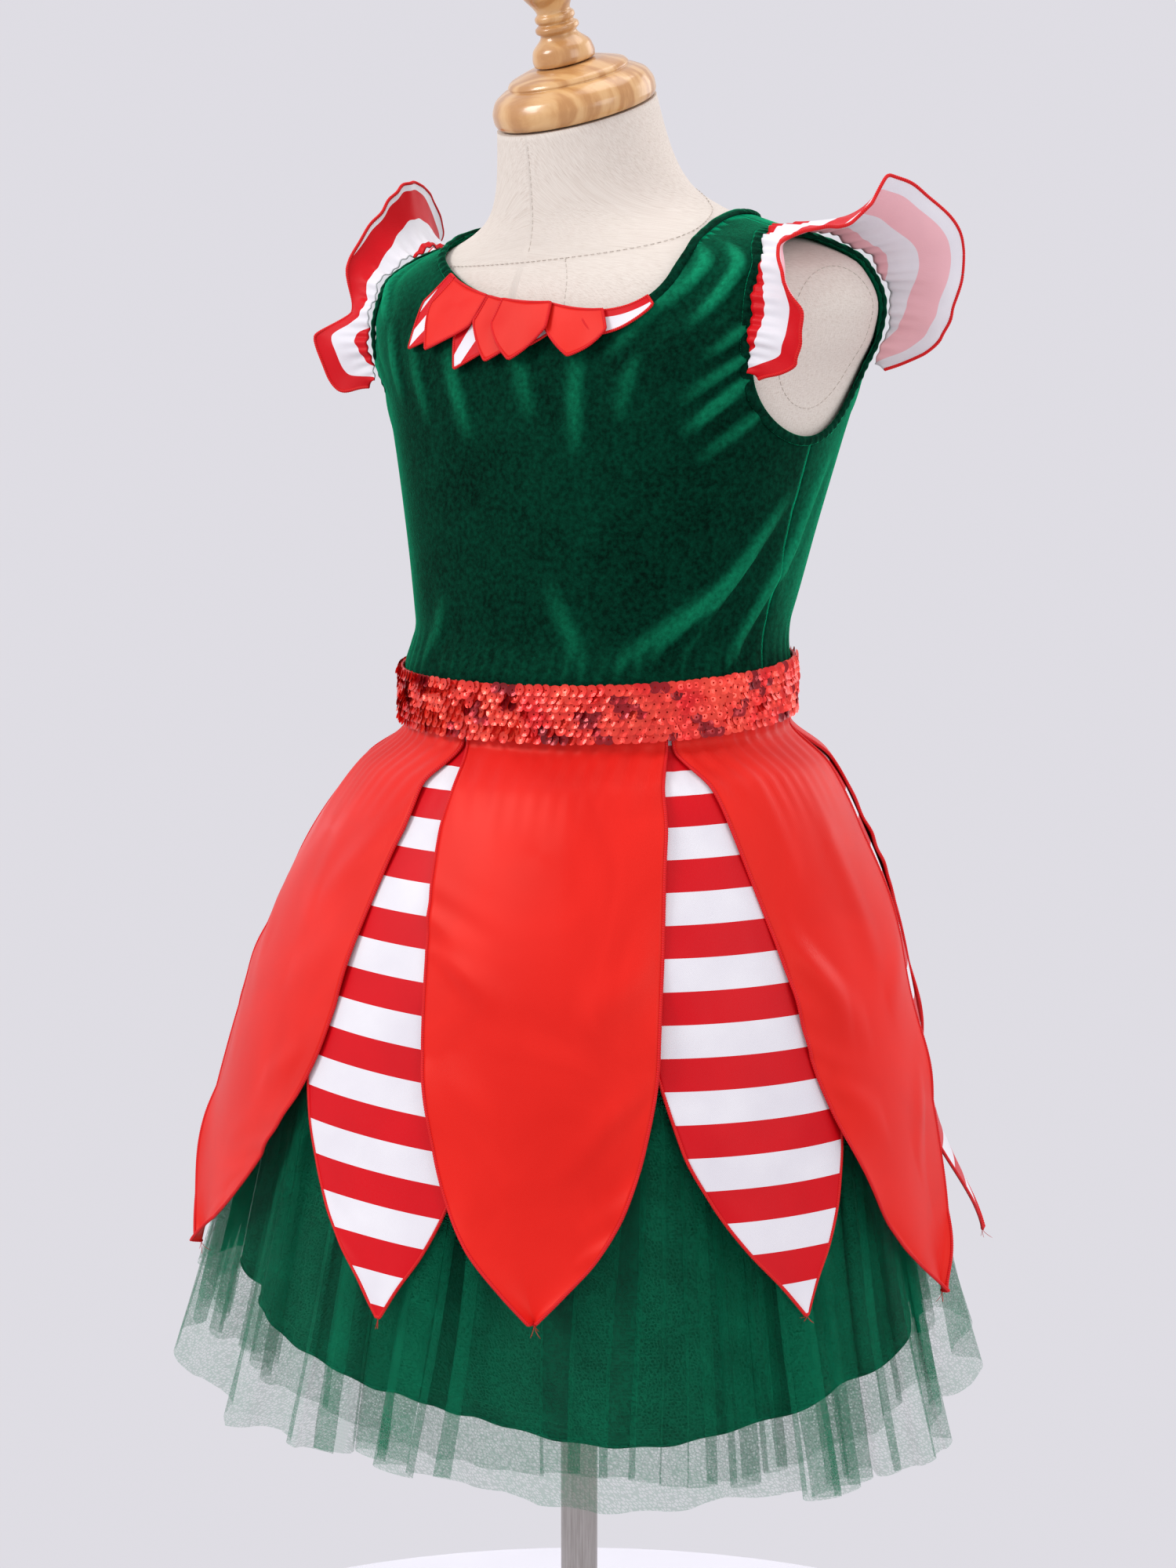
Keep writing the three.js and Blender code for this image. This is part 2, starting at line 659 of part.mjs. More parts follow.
function skirtLayer({ levels, hem, hemDepth, folds, shift, across }) {
  const along = skirtHeights.length + 1;
  const levelAt = columns(levels, 'height');
  const middle = (bearing, height) => {
    const { inset, foldDepth } = levelAt(height);
    return movedOut(skirtPoint, bearing, height, foldDepth * fold(bearing, folds, shift) - inset);
  };
  return clothWall({
    across,
    along,
    round: true,
    point: (i, j, side) => {
      const bearing = (i / across) * 2 * Math.PI;
      const rise = (hemRise * (1 - Math.cos(bearing - lowestHem))) / 2;
      const low = hem + rise + hemWave(bearing, hemDepth, shift);
      const height = [layerTop, ...skirtHeights, low][j];
      return movedOut(middle, bearing, height, side * netThickness / 2);
    },
  });
}

const outerTulle = { levels: outerTulleLevels, hem: -357, hemDepth: 7, folds: 16, shift: 0.4, across: 62 };
const innerTulle = { levels: innerTulleLevels, hem: -346, hemDepth: 5, folds: 12, shift: 1.9, across: 48 };
const liningSkirt = { levels: liningLevels, hem: -328, hemDepth: 6, folds: 8, shift: 2.6, across: 40 };

// Overskirt petals

const petalTop = -15.5;

// Rows of a petal: the skirt's heights as far as they go, then closer ones down to the tip.
function petalHeights(tip) {
  const above = skirtHeights.filter((height) => height > -200);
  const lowest = above[above.length - 1];
  const shares = [0.4, 0.7, 0.88, 1];
  return [petalTop, ...above, ...shares.map((share) => blend(lowest, tip, share))];
}

function petalGeometry(petal, kind) {
  const isRed = kind === 'red';
  const inset = isRed ? 0 : stripedInset;
  const across = isRed ? 6 : 5;
  const heights = petalHeights(petal.tip);
  const middle = (u, height) => {
    const v = (height - petalTop) / (petal.tip - petalTop);
    const level = skirtAt(height);
    const perRadian = (level.halfWidth + (level.back - level.front) / 2) / 2;
    const fitted = (perRadian * radians(petal.span)) / 2 - seamGap;
    const shaped = petal.wide * outlineAt(v)[kind];
    const half = blend(Math.min(fitted, outlineAt(0)[kind]), shaped, smooth(v, 0.05, 0.2));
    const waviness = petal.wave * Math.sin(v * 15 + petal.centre) * smooth(v, 0.3, 0.6) * (1 - v);
    const skew = petal.tipSkew * smooth(v, 0.45, 1);
    const sideways = u * half + waviness + skew;
    const bearing = radians(petal.centre + petal.swing * v) + sideways / perRadian;
    const lift = isRed ? 3 * smooth(v, 0.3, 1) * u * u : petal.flare * smooth(v, 0.72, 1);
    return movedOut(skirtPoint, bearing, height, lift - inset);
  };
  return clothWall({
    across,
    along: heights.length - 1,
    round: false,
    point: (i, j, side) => {
      const u = blend(-1, 1, i / across);
      return movedOut(middle, u, heights[j], side * satinThickness / 2);
    },
  });
}

// Dress form, cap, finial and stand

function torsoGeometry() {
  const heights = formLevels.map((row) => row.height);
  const below = heights.filter((height) => height < bodiceHeights[0]);
  const above = heights.filter((height) => height > bodiceHeights[bodiceRows]);
  const rings = [...below, ...bodiceHeights, ...above];
  return ringSolid({
    around: torsoAround,
    levels: rings.length,
    point: (i, j) => formPoint((i / torsoAround) * 2 * Math.PI, rings[j]),
  });
}

// A turned piece with its axis along +Z, from rows of height and radius.
function turned(profile, segments) {
  const points = profile.map(({ height, radius }) => new THREE.Vector2(radius, height));
  const geometry = new THREE.LatheGeometry(points, segments);
  geometry.rotateX(Math.PI / 2);
  return geometry;
}

const capProfile = [
  { height: 0, radius: 0 },
  { height: 0, radius: 38 },
  { height: 3, radius: 39.6 },
  { height: 8, radius: 39.6 },
  { height: 13, radius: 37 },
  { height: 16, radius: 32 },
  { height: 17, radius: 29 },
  { height: 18, radius: 29.5 },
  { height: 20, radius: 28 },
  { height: 22, radius: 22 },
  { height: 23.5, radius: 17 },
  { height: 23.5, radius: 0 },
];

const finialProfile = [
  { height: 23.8, radius: 0 },
  { height: 23.8, radius: 14.5 },
  { height: 27, radius: 15.2 },
  { height: 32, radius: 14 },
  { height: 36, radius: 9.5 },
  { height: 38, radius: 8.5 },
  { height: 39.5, radius: 10.5 },
  { height: 41.5, radius: 10.5 },
  { height: 43, radius: 8.2 },
  { height: 44.5, radius: 9.6 },
  { height: 46.5, radius: 9.6 },
  { height: 48, radius: 7.8 },
  { height: 51, radius: 9 },
  { height: 57, radius: 13.2 },
  { height: 65, radius: 15.8 },
  { height: 73, radius: 15 },
  { height: 80, radius: 11.5 },
  { height: 85, radius: 6 },
  { height: 86.5, radius: 0 },
];

const poleTop = waistHeight + formLevels[0].height - seamGap;
const poleBottom = baseThickness + seamGap;

function poleGeometry() {
  const length = poleTop - poleBottom;
  const geometry = new THREE.CylinderGeometry(poleDiameter / 2, poleDiameter / 2, length, 28);
  geometry.rotateX(Math.PI / 2);
  return geometry;
}

const baseProfile = [
  { height: 0, radius: 0 },
  { height: 0, radius: baseDiameter / 2 },
  { height: baseThickness - 3, radius: baseDiameter / 2 },
  { height: baseThickness, radius: baseDiameter / 2 - 4 },
  { height: baseThickness, radius: 0 },
];

// Scene graph

const materials = {
  velvet: new THREE.MeshStandardMaterial({ color: velvetGreen, roughness: 0.75 }),
  satin: new THREE.MeshStandardMaterial({ color: satinRed, roughness: 0.45 }),
  stripe: new THREE.MeshStandardMaterial({ color: stripeRed, roughness: 0.55 }),
  sequin: new THREE.MeshStandardMaterial({ color: sequinRed, roughness: 0.25, metalness: 0.5 }),
  net: new THREE.MeshStandardMaterial({ color: netGreen, roughness: 0.8 }),
  lining: new THREE.MeshStandardMaterial({ color: liningGreen, roughness: 0.8 }),
  linen: new THREE.MeshStandardMaterial({ color: linenBeige, roughness: 0.9 }),
  wood: new THREE.MeshStandardMaterial({ color: honeyWood, roughness: 0.35 }),
  steel: new THREE.MeshStandardMaterial({ color: steelGrey, roughness: 0.4, metalness: 0.9 }),
};

function piece(name, geometry, material, parent) {
  const mesh = new THREE.Mesh(geometry, materials[material]);
  mesh.name = name;
  parent.add(mesh);
  return mesh;
}

const costume = new THREE.Group();
const stand = new THREE.Group();
const figure = new THREE.Group();
figure.position.z = waistHeight;
costume.add(stand, figure);

piece('base_plate', turned(baseProfile, 36), 'steel', stand);
piece('pole', poleGeometry(), 'steel', stand).position.z = (poleTop + poleBottom) / 2;

piece('form_torso', torsoGeometry(), 'linen', figure);

const capSeat = new THREE.Group();
const neckTop = formLevels[formLevels.length - 1];
const neckAslant = aslantAt(neckTop.height);
capSeat.position.set(neckAslant.sway, neckTop.middle, neckTop.height + seamGap);
capSeat.rotation.x = radians(capLean);
capSeat.rotation.y = -Math.atan(neckAslant.slope * Math.cos(radians(capLean)));
figure.add(capSeat);
piece('neck_cap', turned(capProfile, 24), 'wood', capSeat);
piece('finial', turned(finialProfile, 18), 'wood', capSeat);

piece('bodice_front', bodiceGeometry(true), 'velvet', figure);
piece('bodice_back', bodiceGeometry(false), 'velvet', figure);
piece('neck_binding', neckBindingGeometry(), 'velvet', figure);
piece('armhole_binding_left', armBindingGeometry(1), 'velvet', figure);
piece('armhole_binding_right', armBindingGeometry(-1), 'velvet', figure);
piece('sleeve_left', sleeveGeometry(1, leftSleeve), 'stripe', figure);
piece('sleeve_right', sleeveGeometry(-1, rightSleeve), 'stripe', figure);

for (const trim of trimPetals) {
  piece(trim.name, trimGeometry(trim), trim.kind === 'red' ? 'satin' : 'stripe', figure);
}

piece('belt', beltGeometry(), 'sequin', figure);
piece('lining_skirt', skirtLayer(liningSkirt), 'lining', figure);
piece('tulle_inner', skirtLayer(innerTulle), 'net', figure);
piece('tulle_outer', skirtLayer(outerTulle), 'net', figure);

for (const petal of stripedPetals) {
  piece(`petal_striped_${petal.name}`, petalGeometry(petal, 'striped'), 'stripe', figure);
}
for (const petal of redPetals) {
  piece(`petal_red_${petal.name}`, petalGeometry(petal, 'red'), 'satin', figure);
}

export default costume;
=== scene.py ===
# A child's sleeveless elf dress on a limbless dress form: looks and fine form.
# All sizes are in metres. The wearer's front faces -Y and the wearer's left is +X.

import math

import bmesh
import bpy
import numpy as np
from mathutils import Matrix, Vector

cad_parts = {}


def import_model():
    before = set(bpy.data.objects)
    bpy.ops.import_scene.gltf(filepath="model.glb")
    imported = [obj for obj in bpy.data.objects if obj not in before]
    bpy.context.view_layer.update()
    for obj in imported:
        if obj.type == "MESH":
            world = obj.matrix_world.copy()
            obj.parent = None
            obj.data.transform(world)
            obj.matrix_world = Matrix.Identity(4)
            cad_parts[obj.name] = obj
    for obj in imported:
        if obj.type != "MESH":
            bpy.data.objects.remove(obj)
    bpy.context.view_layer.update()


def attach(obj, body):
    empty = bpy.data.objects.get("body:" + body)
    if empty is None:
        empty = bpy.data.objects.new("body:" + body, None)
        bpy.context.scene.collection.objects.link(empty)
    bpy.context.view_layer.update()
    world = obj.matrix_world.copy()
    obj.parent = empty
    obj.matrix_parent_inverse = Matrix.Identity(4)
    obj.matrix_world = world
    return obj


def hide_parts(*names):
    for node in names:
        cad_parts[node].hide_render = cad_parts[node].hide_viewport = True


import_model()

MM = 0.001
WAIST_HEIGHT = 690


# Tables: the same named sizes as the solids, in millimetres from the belt's top edge

def table(names, *rows):
    return [dict(zip(names.split(), row)) for row in rows]


FORM_LEVELS = table(
    "height half_width middle front back squareness lean",
    (-172, 92, 8, -62, 78, 2.1, 0),
    (-166, 103, 8, -71, 88, 2.1, 0),
    (-140, 109, 7, -77, 93, 2.1, 0),
    (-90, 104, 5, -76, 87, 2.15, 0),
    (-40, 91.5, 6, -66.5, 77, 2.15, 0),
    (-28, 89.8, 6.3, -65, 76, 2.15, 0),
    (-14, 89.3, 6.3, -64.7, 76, 2.15, 0),
    (0, 89.6, 7, -64.8, 76.5, 2.15, 0),
    (22, 95, 12, -65, 86, 2.15, 0),
    (62, 102, 20, -64.5, 100.5, 2.2, 0),
    (101, 110.5, 28, -62.5, 114, 2.25, 0),
    (120, 115, 32.5, -61, 119.5, 2.3, 0),
    (137, 122, 36, -58.5, 121.5, 2.3, 0),
    (152, 132, 37, -54.5, 119.5, 2.2, 0),
    (168, 138, 37, -48.5, 112.5, 2.1, 0),
    (183, 133, 36, -41.5, 101.5, 2.05, 0),
    (195, 112, 34, -35, 88, 2, 1),
    (203, 88, 32, -31.5, 76, 2, 3),
    (210, 70, 29, -29.5, 66, 2, 5),
    (217, 58, 25, -28, 59, 2, 7),
    (224, 50.5, 20, -27.5, 55, 2, 9),
    (234, 45, 16, -27.5, 52, 2, 11),
    (247, 41, 12, -28, 50, 2, 13),
    (262, 38, 9, -29, 47, 2, 16.5),
)

SKIRT_LEVELS = table(
    "height half_width middle front back squareness lean",
    (-14, 98.7, 6.3, -74.1, 85.4, 2.15, 0),
    (-30, 98.9, 6.3, -74.3, 85.6, 2.15, 0),
    (-49, 123, 4, -97, 106, 2, 0),
    (-81, 144, 3, -115, 124, 2, 0),
    (-128, 166, 1, -133, 145, 2, 0),
    (-184, 183, -1, -149, 158, 2, 0),
    (-240, 196, -3, -163, 170, 2, 0),
    (-290, 208, -4, -176, 182, 2, 0),
    (-361, 226, -5, -194, 200, 2, 0),
)

ASLANT_LEVELS = table(
    "height sway slope",
    (-361, -6, 0),
    (-240, -4, 0),
    (-172, -2, 0),
    (-128, 0, 0.018),
    (-81, 3, 0.036),
    (-40, 6, 0.053),
    (0, 6, 0.053),
    (262, -8, 0.07),
)

# How far each skirt layer lies inside the petals, and how deep its broad folds are
LAYER_LEVELS = table(
    "height tulle_outer tulle_outer_folds tulle_inner tulle_inner_folds lining lining_folds",
    (-14, 3.9, 0, 5.8, 0, 7.7, 0),
    (-30, 3.9, 0, 5.8, 0, 7.7, 0),
    (-49, 5.2, 0.8, 8.3, 0.8, 11.4, 0.6),
    (-81, 6.8, 1.8, 12, 1.8, 17, 1.6),
    (-128, 8.2, 3, 15.6, 3, 23, 2.8),
    (-184, 9.4, 4, 19, 3.8, 28.5, 4),
    (-240, 10.4, 5, 21.6, 4.6, 33, 5),
    (-290, 11.2, 5.6, 23.6, 5, 36.5, 6),
    (-361, 10, 9, 26.5, 6, 41, 7),
)

# How each layer is cut: hem and its wave, broad folds, grid, pleats and the unevenness of the hem
SKIRT_LAYERS = table(
    "name hem hem_depth folds shift columns levels pleats pleat_depth jag",
    ("tulle_outer", -357, 7, 16, 0.4, 1300, 44, 52, 8.5, 1.0),
    ("tulle_inner", -346, 5, 12, 1.9, 1100, 40, 44, 7.0, 1.0),
    ("lining", -328, 6, 8, 2.6, 360, 60, 20, 0.5, 0.5),
)

RED_PETALS = table(
    "name centre span swing tip tip_skew wave wide",
    ("right_front", -40.2, 61.6, 12, -290, -30, 2.5, 1.2),
    ("centre", 22.5, 63.8, 7, -275, -3, 1, 1.07),
    ("left", 84.2, 59.6, 13, -288, 6, 1.5, 1),
    ("left_back", 143, 58, 9, -284, 3, 2.5, 1),
    ("back", 201, 58, 5, -290, -4, 2, 1.02),
    ("right_back", 259.5, 59, 1, -286, 4, 2, 1),
)

STRIPED_PETALS = table(
    "name centre span swing tip tip_skew wave wide flare",
    ("right_front", -9.4, 56, 15, -284, 1, 0.8, 1, 0),
    ("left_front", 54.4, 56, 13, -275, 3, 0.8, 0.97, 0),
    ("left", 114, 54, 12, -293, 5, 1, 1, 13),
    ("left_back", 172, 54, 8, -285, -3, 1, 1, 4),
    ("right_back", 230, 54, 4, -288, 2, 1, 1, 2),
    ("right", 289, 54, 1, -290, -2, 1, 1, 5),
)

PETAL_OUTLINE = table(
    "along red striped",
    (0, 47, 42),
    (0.2, 50, 44),
    (0.4, 51.5, 47),
    (0.55, 51, 49),
    (0.7, 45.5, 45.5),
    (0.8, 38.5, 36),
    (0.88, 28, 24),
    (0.95, 13, 10),
    (1, 1.2, 1.2),
)

LEFT_SLEEVE = table(
    "angle out aft up",
    (-104, 5, 0, -3),
    (-90, 27, -2, -7),
    (-70, 31, -6, -4),
    (-50, 24, -17, -3),
    (-35, 22, -20, 0),
    (-20, 31, -13, 2),
    (-5, 41, -4, 1),
    (8, 43, 0, 10),
    (20, 38, 6, 25),
    (35, 38, 13, 20),
    (52, 36, 19, 8),
    (70, 29, 10, -4),
    (88, 24, 5, -5),
    (104, 5, 1, -3),
)

RIGHT_SLEEVE = table(
    "angle out aft up",
    (-104, 5, 0, -4),
    (-95, 22, -2, -13),
    (-80, 33, -3, -1),
    (-67, 15, 4, 0),
    (-50, 17, -3, 10),
    (-30, 17, 0, 22),
    (-8, 18, 3, 32),
    (10, 19, 9, 27),
    (30, 18, 17, 14),
    (52, 34, 20, 6),
    (70, 38, 10, -4),
    (88, 26, 6, -6),
    (104, 5, 1, -3),
)

TRIM_PETALS = table(
    "name start end drop low layer kind",
    ("trim_1_striped", -54, -36, 38, 0.4, 0, "striped"),
    ("trim_2_red", -49, -29, 33, 0.45, 1, "red"),
    ("trim_3_striped", -35, -16, 35, 0.4, 0, "striped"),
    ("trim_4_red", -28, -7, 28, 0.5, 1, "red"),
    ("trim_5_red", -20, 1, 26, 0.5, 2, "red"),
    ("trim_6_striped", -15, 5, 19, 0.5, 0, "striped"),
    ("trim_7_red", -1, 23, 22, 0.4, 1, "red"),
    ("trim_8_striped", 14, 45, 12, 0.12, 0, "striped"),
)

CAP_PROFILE = table(
    "height radius",
    (0, 0),
    (0, 38),
    (3, 39.6),
    (8, 39.6),
    (13, 37),
    (16, 32),
    (17, 29),
    (18, 29.5),
    (20, 28),
    (22, 22),
    (23.5, 17),
    (23.5, 0),
)

FINIAL_PROFILE = table(
    "height radius",
    (23.8, 0),
    (23.8, 14.5),
    (27, 15.2),
    (32, 14),
    (36, 9.5),
    (38, 8.5),
    (39.5, 10.5),
    (41.5, 10.5),
    (43, 8.2),
    (44.5, 9.6),
    (46.5, 9.6),
    (48, 7.8),
    (51, 9),
    (57, 13.2),
    (65, 15.8),
    (73, 15),
    (80, 11.5),
    (85, 6),
    (86.5, 0),
)

# Sizes in millimetres

SEAM_GAP = 0.35
VELVET_THICKNESS = 1.0
SATIN_THICKNESS = 0.6
LINING_THICKNESS = 0.5
BINDING_WIDTH = 4.5
BELT_HEIGHT = 26.5
BELT_LEAN = 1
CAP_LEAN = 16.5
BODICE_OFFSET = 1.9
BODICE_WAIST_OFFSET = 9.4
BINDING_OFFSET = 3
SLEEVE_ROOT_OFFSET = 5.7
TRIM_OFFSET = 5.1
TRIM_LAYER_STEP = 1.5
BELT_OFFSET = 12
STRIPED_INSET = 2.1
PETAL_TOP = -15.5
LAYER_TOP = -15

NECK_RIDGE = 209
NECK_FRONT_LOW = 172
NECK_BACK_LOW = 204
NECK_ASIDE = 26
NECK_LEFT_DROP = 9
ARM_Y = 25
ARM_HEIGHT = 152
ARM_HALF_DEPTH = 40
ARM_HALF_HEIGHT = 44
ARM_INSIDE = 55
LOWEST_HEM = math.radians(38)
HEM_RISE = 22


# Reading the tables

def reader(rows, key, name):
    """A smooth function through one column of a table, without overshoot between the rows."""
    rows = sorted(rows, key=lambda row: row[key])
    at = np.array([row[key] for row in rows], float)
    value = np.array([row[name] for row in rows], float)
    step = np.diff(value) / np.diff(at)
    before, after = step[:-1], step[1:]
    total = np.where(before * after > 0, before + after, 1)
    inner = np.where(before * after > 0, 2 * before * after / total, 0)
    slope = np.concatenate([step[:1], inner, step[-1:]])

    def read(x):
        place = np.clip(x, at[0], at[-1])
        i = np.clip(np.searchsorted(at, place, side="right") - 1, 0, len(at) - 2)
        width = at[i + 1] - at[i]
        t = (place - at[i]) / width
        start = (1 + 2 * t) * (1 - t) ** 2 * value[i] + t * (1 - t) ** 2 * width * slope[i]
        end = t * t * (3 - 2 * t) * value[i + 1] + t * t * (t - 1) * width * slope[i + 1]
        return start + end

    return read


def readers(rows, key):
    names = [name for name in rows[0] if name != key and not isinstance(rows[0][name], str)]
    return {name: reader(rows, key, name) for name in names}


FORM = readers(FORM_LEVELS, "height")
SKIRT = readers(SKIRT_LEVELS, "height")
ASLANT = readers(ASLANT_LEVELS, "height")
LAYERS = readers(LAYER_LEVELS, "height")
OUTLINE = readers(PETAL_OUTLINE, "along")


def smooth(x, low, high):
    t = np.clip((x - low) / (high - low), 0, 1)
    return t * t * (3 - 2 * t)


def blend(a, b, t):
    return a + (b - a) * t


def signed_power(x, p):
    return np.sign(x) * np.abs(x) ** p


# Surfaces. A bearing is in radians from the centre front towards the wearer's left.

def level_point(level, bearing, height):
    """A place on a form whose levels are rounded rectangles, leant back and aslant."""
    bearing, height = np.broadcast_arrays(np.asarray(bearing, float), np.asarray(height, float))
    power = 2 / level["squareness"](height)
    middle = level["middle"](height)
    x = level["half_width"](height) * signed_power(np.sin(bearing), power)
    along = signed_power(np.cos(bearing), power)
    depth = np.where(along > 0, middle - level["front"](height), level["back"](height) - middle)
    y = middle - depth * along
    lean = np.tan(np.radians(level["lean"](height)))
    z = height + (y - middle) * lean + x * ASLANT["slope"](height)
    return np.stack([x + ASLANT["sway"](height), y, z], axis=-1)


def form_point(bearing, height):
    return level_point(FORM, bearing, height)


def skirt_point(bearing, height):
    return level_point(SKIRT, bearing, height)


def moved_out(surface, bearing, height, offset, turn=0.01, rise=1.0):
    """A place off a surface along its normal: every cloth lies on the form or the skirt this way."""
    across = surface(bearing + turn, height) - surface(bearing - turn, height)
    upward = surface(bearing, height + rise) - surface(bearing, height - rise)
    normal = np.cross(across, upward)
    normal /= np.maximum(np.linalg.norm(normal, axis=-1, keepdims=True), 1e-9)
    return surface(bearing, height) + normal * np.asarray(offset)[..., None]


# Openings of the bodice

RIDGE_HALF_WIDTH = float(FORM["half_width"](NECK_RIDGE))
RIDGE_HEIGHTS = np.linspace(260, 168, 400)
RIDGE_WIDTHS = FORM["half_width"](RIDGE_HEIGHTS)


def neck_outline(turn, grow):
    """The neckline seen from the front and grown outwards: deep in front and shallow at the back."""
    turn, grow = np.broadcast_arrays(np.asarray(turn, float), np.asarray(grow, float))
    ridge = np.interp(RIDGE_HALF_WIDTH + grow, RIDGE_WIDTHS, RIDGE_HEIGHTS)
    in_front = np.maximum(np.cos(turn), 0)
    lowest = np.where(np.cos(turn) >= 0, NECK_FRONT_LOW, NECK_BACK_LOW) - grow
    x = (RIDGE_HALF_WIDTH + grow) * np.sin(turn) + NECK_ASIDE * in_front**0.75
    drop = NECK_LEFT_DROP * np.maximum(np.sin(2 * turn), 0) * (in_front > 0)
    return x, ridge - (ridge - lowest) * np.abs(np.cos(turn)) - drop


def neck_point(turn, grow, offset):
    x, height = neck_outline(turn, grow)
    share = np.minimum(np.abs(x) / FORM["half_width"](height), 1) ** (FORM["squareness"](height) / 2)
    angle = np.arcsin(share)
    bearing = np.sign(x) * np.where(np.cos(turn) >= 0, angle, np.pi - angle)
    return moved_out(form_point, bearing, height, offset)


def arm_point(side, angle, grow, offset):
    """A place round the armhole, an ellipse seen from the side. The angle is 0 at the shoulder."""
    angle, grow = np.broadcast_arrays(np.asarray(angle, float), np.asarray(grow, float))
    y = ARM_Y + (ARM_HALF_DEPTH + grow) * np.sin(angle)
    height = ARM_HEIGHT + (ARM_HALF_HEIGHT + grow) * np.cos(angle)
    middle = FORM["middle"](height)
    is_front = y < middle
    depth = np.where(is_front, middle - FORM["front"](height), FORM["back"](height) - middle)
    share = np.minimum(np.abs(middle - y) / depth, 1) ** (FORM["squareness"](height) / 2)
    bearing = np.where(is_front, np.arccos(share), np.pi - np.arccos(share))
    return moved_out(form_point, side * bearing, height, offset)


# Meshes

def world(points):
    points = np.asarray(points, float).copy()
    points[..., 2] += WAIST_HEIGHT
    return points * MM


def new_object(name, vertices, faces, attributes=None, is_smooth=True):
    mesh = bpy.data.meshes.new(name)
    mesh.from_pydata(np.asarray(vertices).reshape(-1, 3).tolist(), [], faces)
    for key, values in (attributes or {}).items():
        layer = mesh.attributes.new(key, "FLOAT_VECTOR", "POINT")
        layer.data.foreach_set("vector", np.asarray(values, np.float32).ravel())
    if is_smooth:
        mesh.shade_smooth()
    mesh.update()
    piece = bpy.data.objects.new(name, mesh)
    bpy.context.scene.collection.objects.link(piece)
    return piece


def grid_faces(rows, columns, is_round, is_ring=False, start=0):
    """Faces of a grid of points. Round joins the ends of its rows, and a ring those of its columns."""
    faces = []
    for j in range(rows if is_ring else rows - 1):
        low, high = start + j * columns, start + (j + 1) % rows * columns
        for i in range(columns if is_round else columns - 1):
            k = (i + 1) % columns
            faces.append((low + i, low + k, high + k, high + i))
    return faces


def grid_object(name, points, is_round=False, cloth=None, keep=None, goes_down=False):
    """A cloth surface through a grid of points whose rows go up, or down, seen from outside."""
    rows, columns = points.shape[:2]
    faces = grid_faces(rows, columns, is_round)
    if goes_down:
        faces = [face[::-1] for face in faces]
    if keep is not None:
        faces = [face for face, is_kept in zip(faces, keep.ravel()) if is_kept]
    attributes = {} if cloth is None else {"cloth": cloth.reshape(-1, 3)}
    return new_object(name, world(points), faces, attributes)


def cloth_lengths(points):
    """Millimetres across and along a grid of points, as the attribute that the weaves and prints read."""
    across = np.linalg.norm(np.diff(points, axis=1), axis=-1)
    across = np.concatenate([np.zeros((points.shape[0], 1)), np.cumsum(across, axis=1)], axis=1)
    along = np.linalg.norm(np.diff(points, axis=0), axis=-1)
    along = np.concatenate([np.zeros((1, points.shape[1])), np.cumsum(along, axis=0)], axis=0)
    middle = across[:, across.shape[1] // 2][:, None]
    return np.stack([across - middle, along, np.zeros_like(along)], axis=-1) * MM


def solidify(piece, thickness, inner_slot=0):
    """Thickens a cloth equally to both sides."""
    modifier = piece.modifiers.new("thickness", "SOLIDIFY")
    modifier.thickness = thickness * MM
    modifier.offset = 0
    modifier.use_even_offset = False
    modifier.material_offset = inner_slot


TUBE_END = 0.55


def path_length(path):
    """The length along a path up to each of its points."""
    return np.concatenate([[0], np.cumsum(np.linalg.norm(np.diff(path, axis=0), axis=1))])


def tube_mesh(paths, radius, sides=6, is_closed=False, ripple=0.0, name="tube"):
    """One mesh of tubes along paths of points, in millimetres, with rounded ends."""
    vertices, faces, cloth = [], [], []
    for path in paths:
        path = np.asarray(path, float)
        count = len(path)
        if is_closed:
            tangent = np.roll(path, -1, axis=0) - np.roll(path, 1, axis=0)
        else:
            tangent = np.gradient(path, axis=0)
        tangent /= np.maximum(np.linalg.norm(tangent, axis=1, keepdims=True), 1e-9)
        up = np.array([0.0, 0.0, 1.0])
        side_axis = np.cross(tangent, up)
        weak = np.linalg.norm(side_axis, axis=1) < 0.15
        side_axis[weak] = np.cross(tangent[weak], np.array([1.0, 0.0, 0.0]))
        for n in range(1, count):
            side_axis[n] -= tangent[n] * side_axis[n].dot(tangent[n])
            if side_axis[n].dot(side_axis[n - 1]) < 0:
                side_axis[n] = -side_axis[n]
        side_axis /= np.maximum(np.linalg.norm(side_axis, axis=1, keepdims=True), 1e-9)
        other = np.cross(tangent, side_axis)
        length = path_length(path)
        start = len(vertices)
        for n in range(count):
            size = radius * (1 + ripple * (1 if n % 2 else -1))
            if not is_closed and n in (0, count - 1):
                size *= TUBE_END
            for k in range(sides):
                angle = 2 * math.pi * k / sides
                point = path[n] + size * (math.cos(angle) * side_axis[n] + math.sin(angle) * other[n])
                vertices.append(point)
                cloth.append((k / sides, length[n] * MM, 0))
        faces.extend(grid_faces(count, sides, True, is_closed, start))
        if not is_closed:
            faces.append(tuple(start + k for k in reversed(range(sides))))
            faces.append(tuple(start + (count - 1) * sides + k for k in range(sides)))
    return new_object(name, world(vertices), faces, {"cloth": cloth})


def even_path(path, spacing):
    """The same path with points at an even spacing, in millimetres."""
    path = np.asarray(path, float)
    length = path_length(path)
    count = max(int(length[-1] / spacing), 3)
    at = np.linspace(0, length[-1], count + 1)
    return np.stack([np.interp(at, length, path[:, k]) for k in range(3)], axis=1)


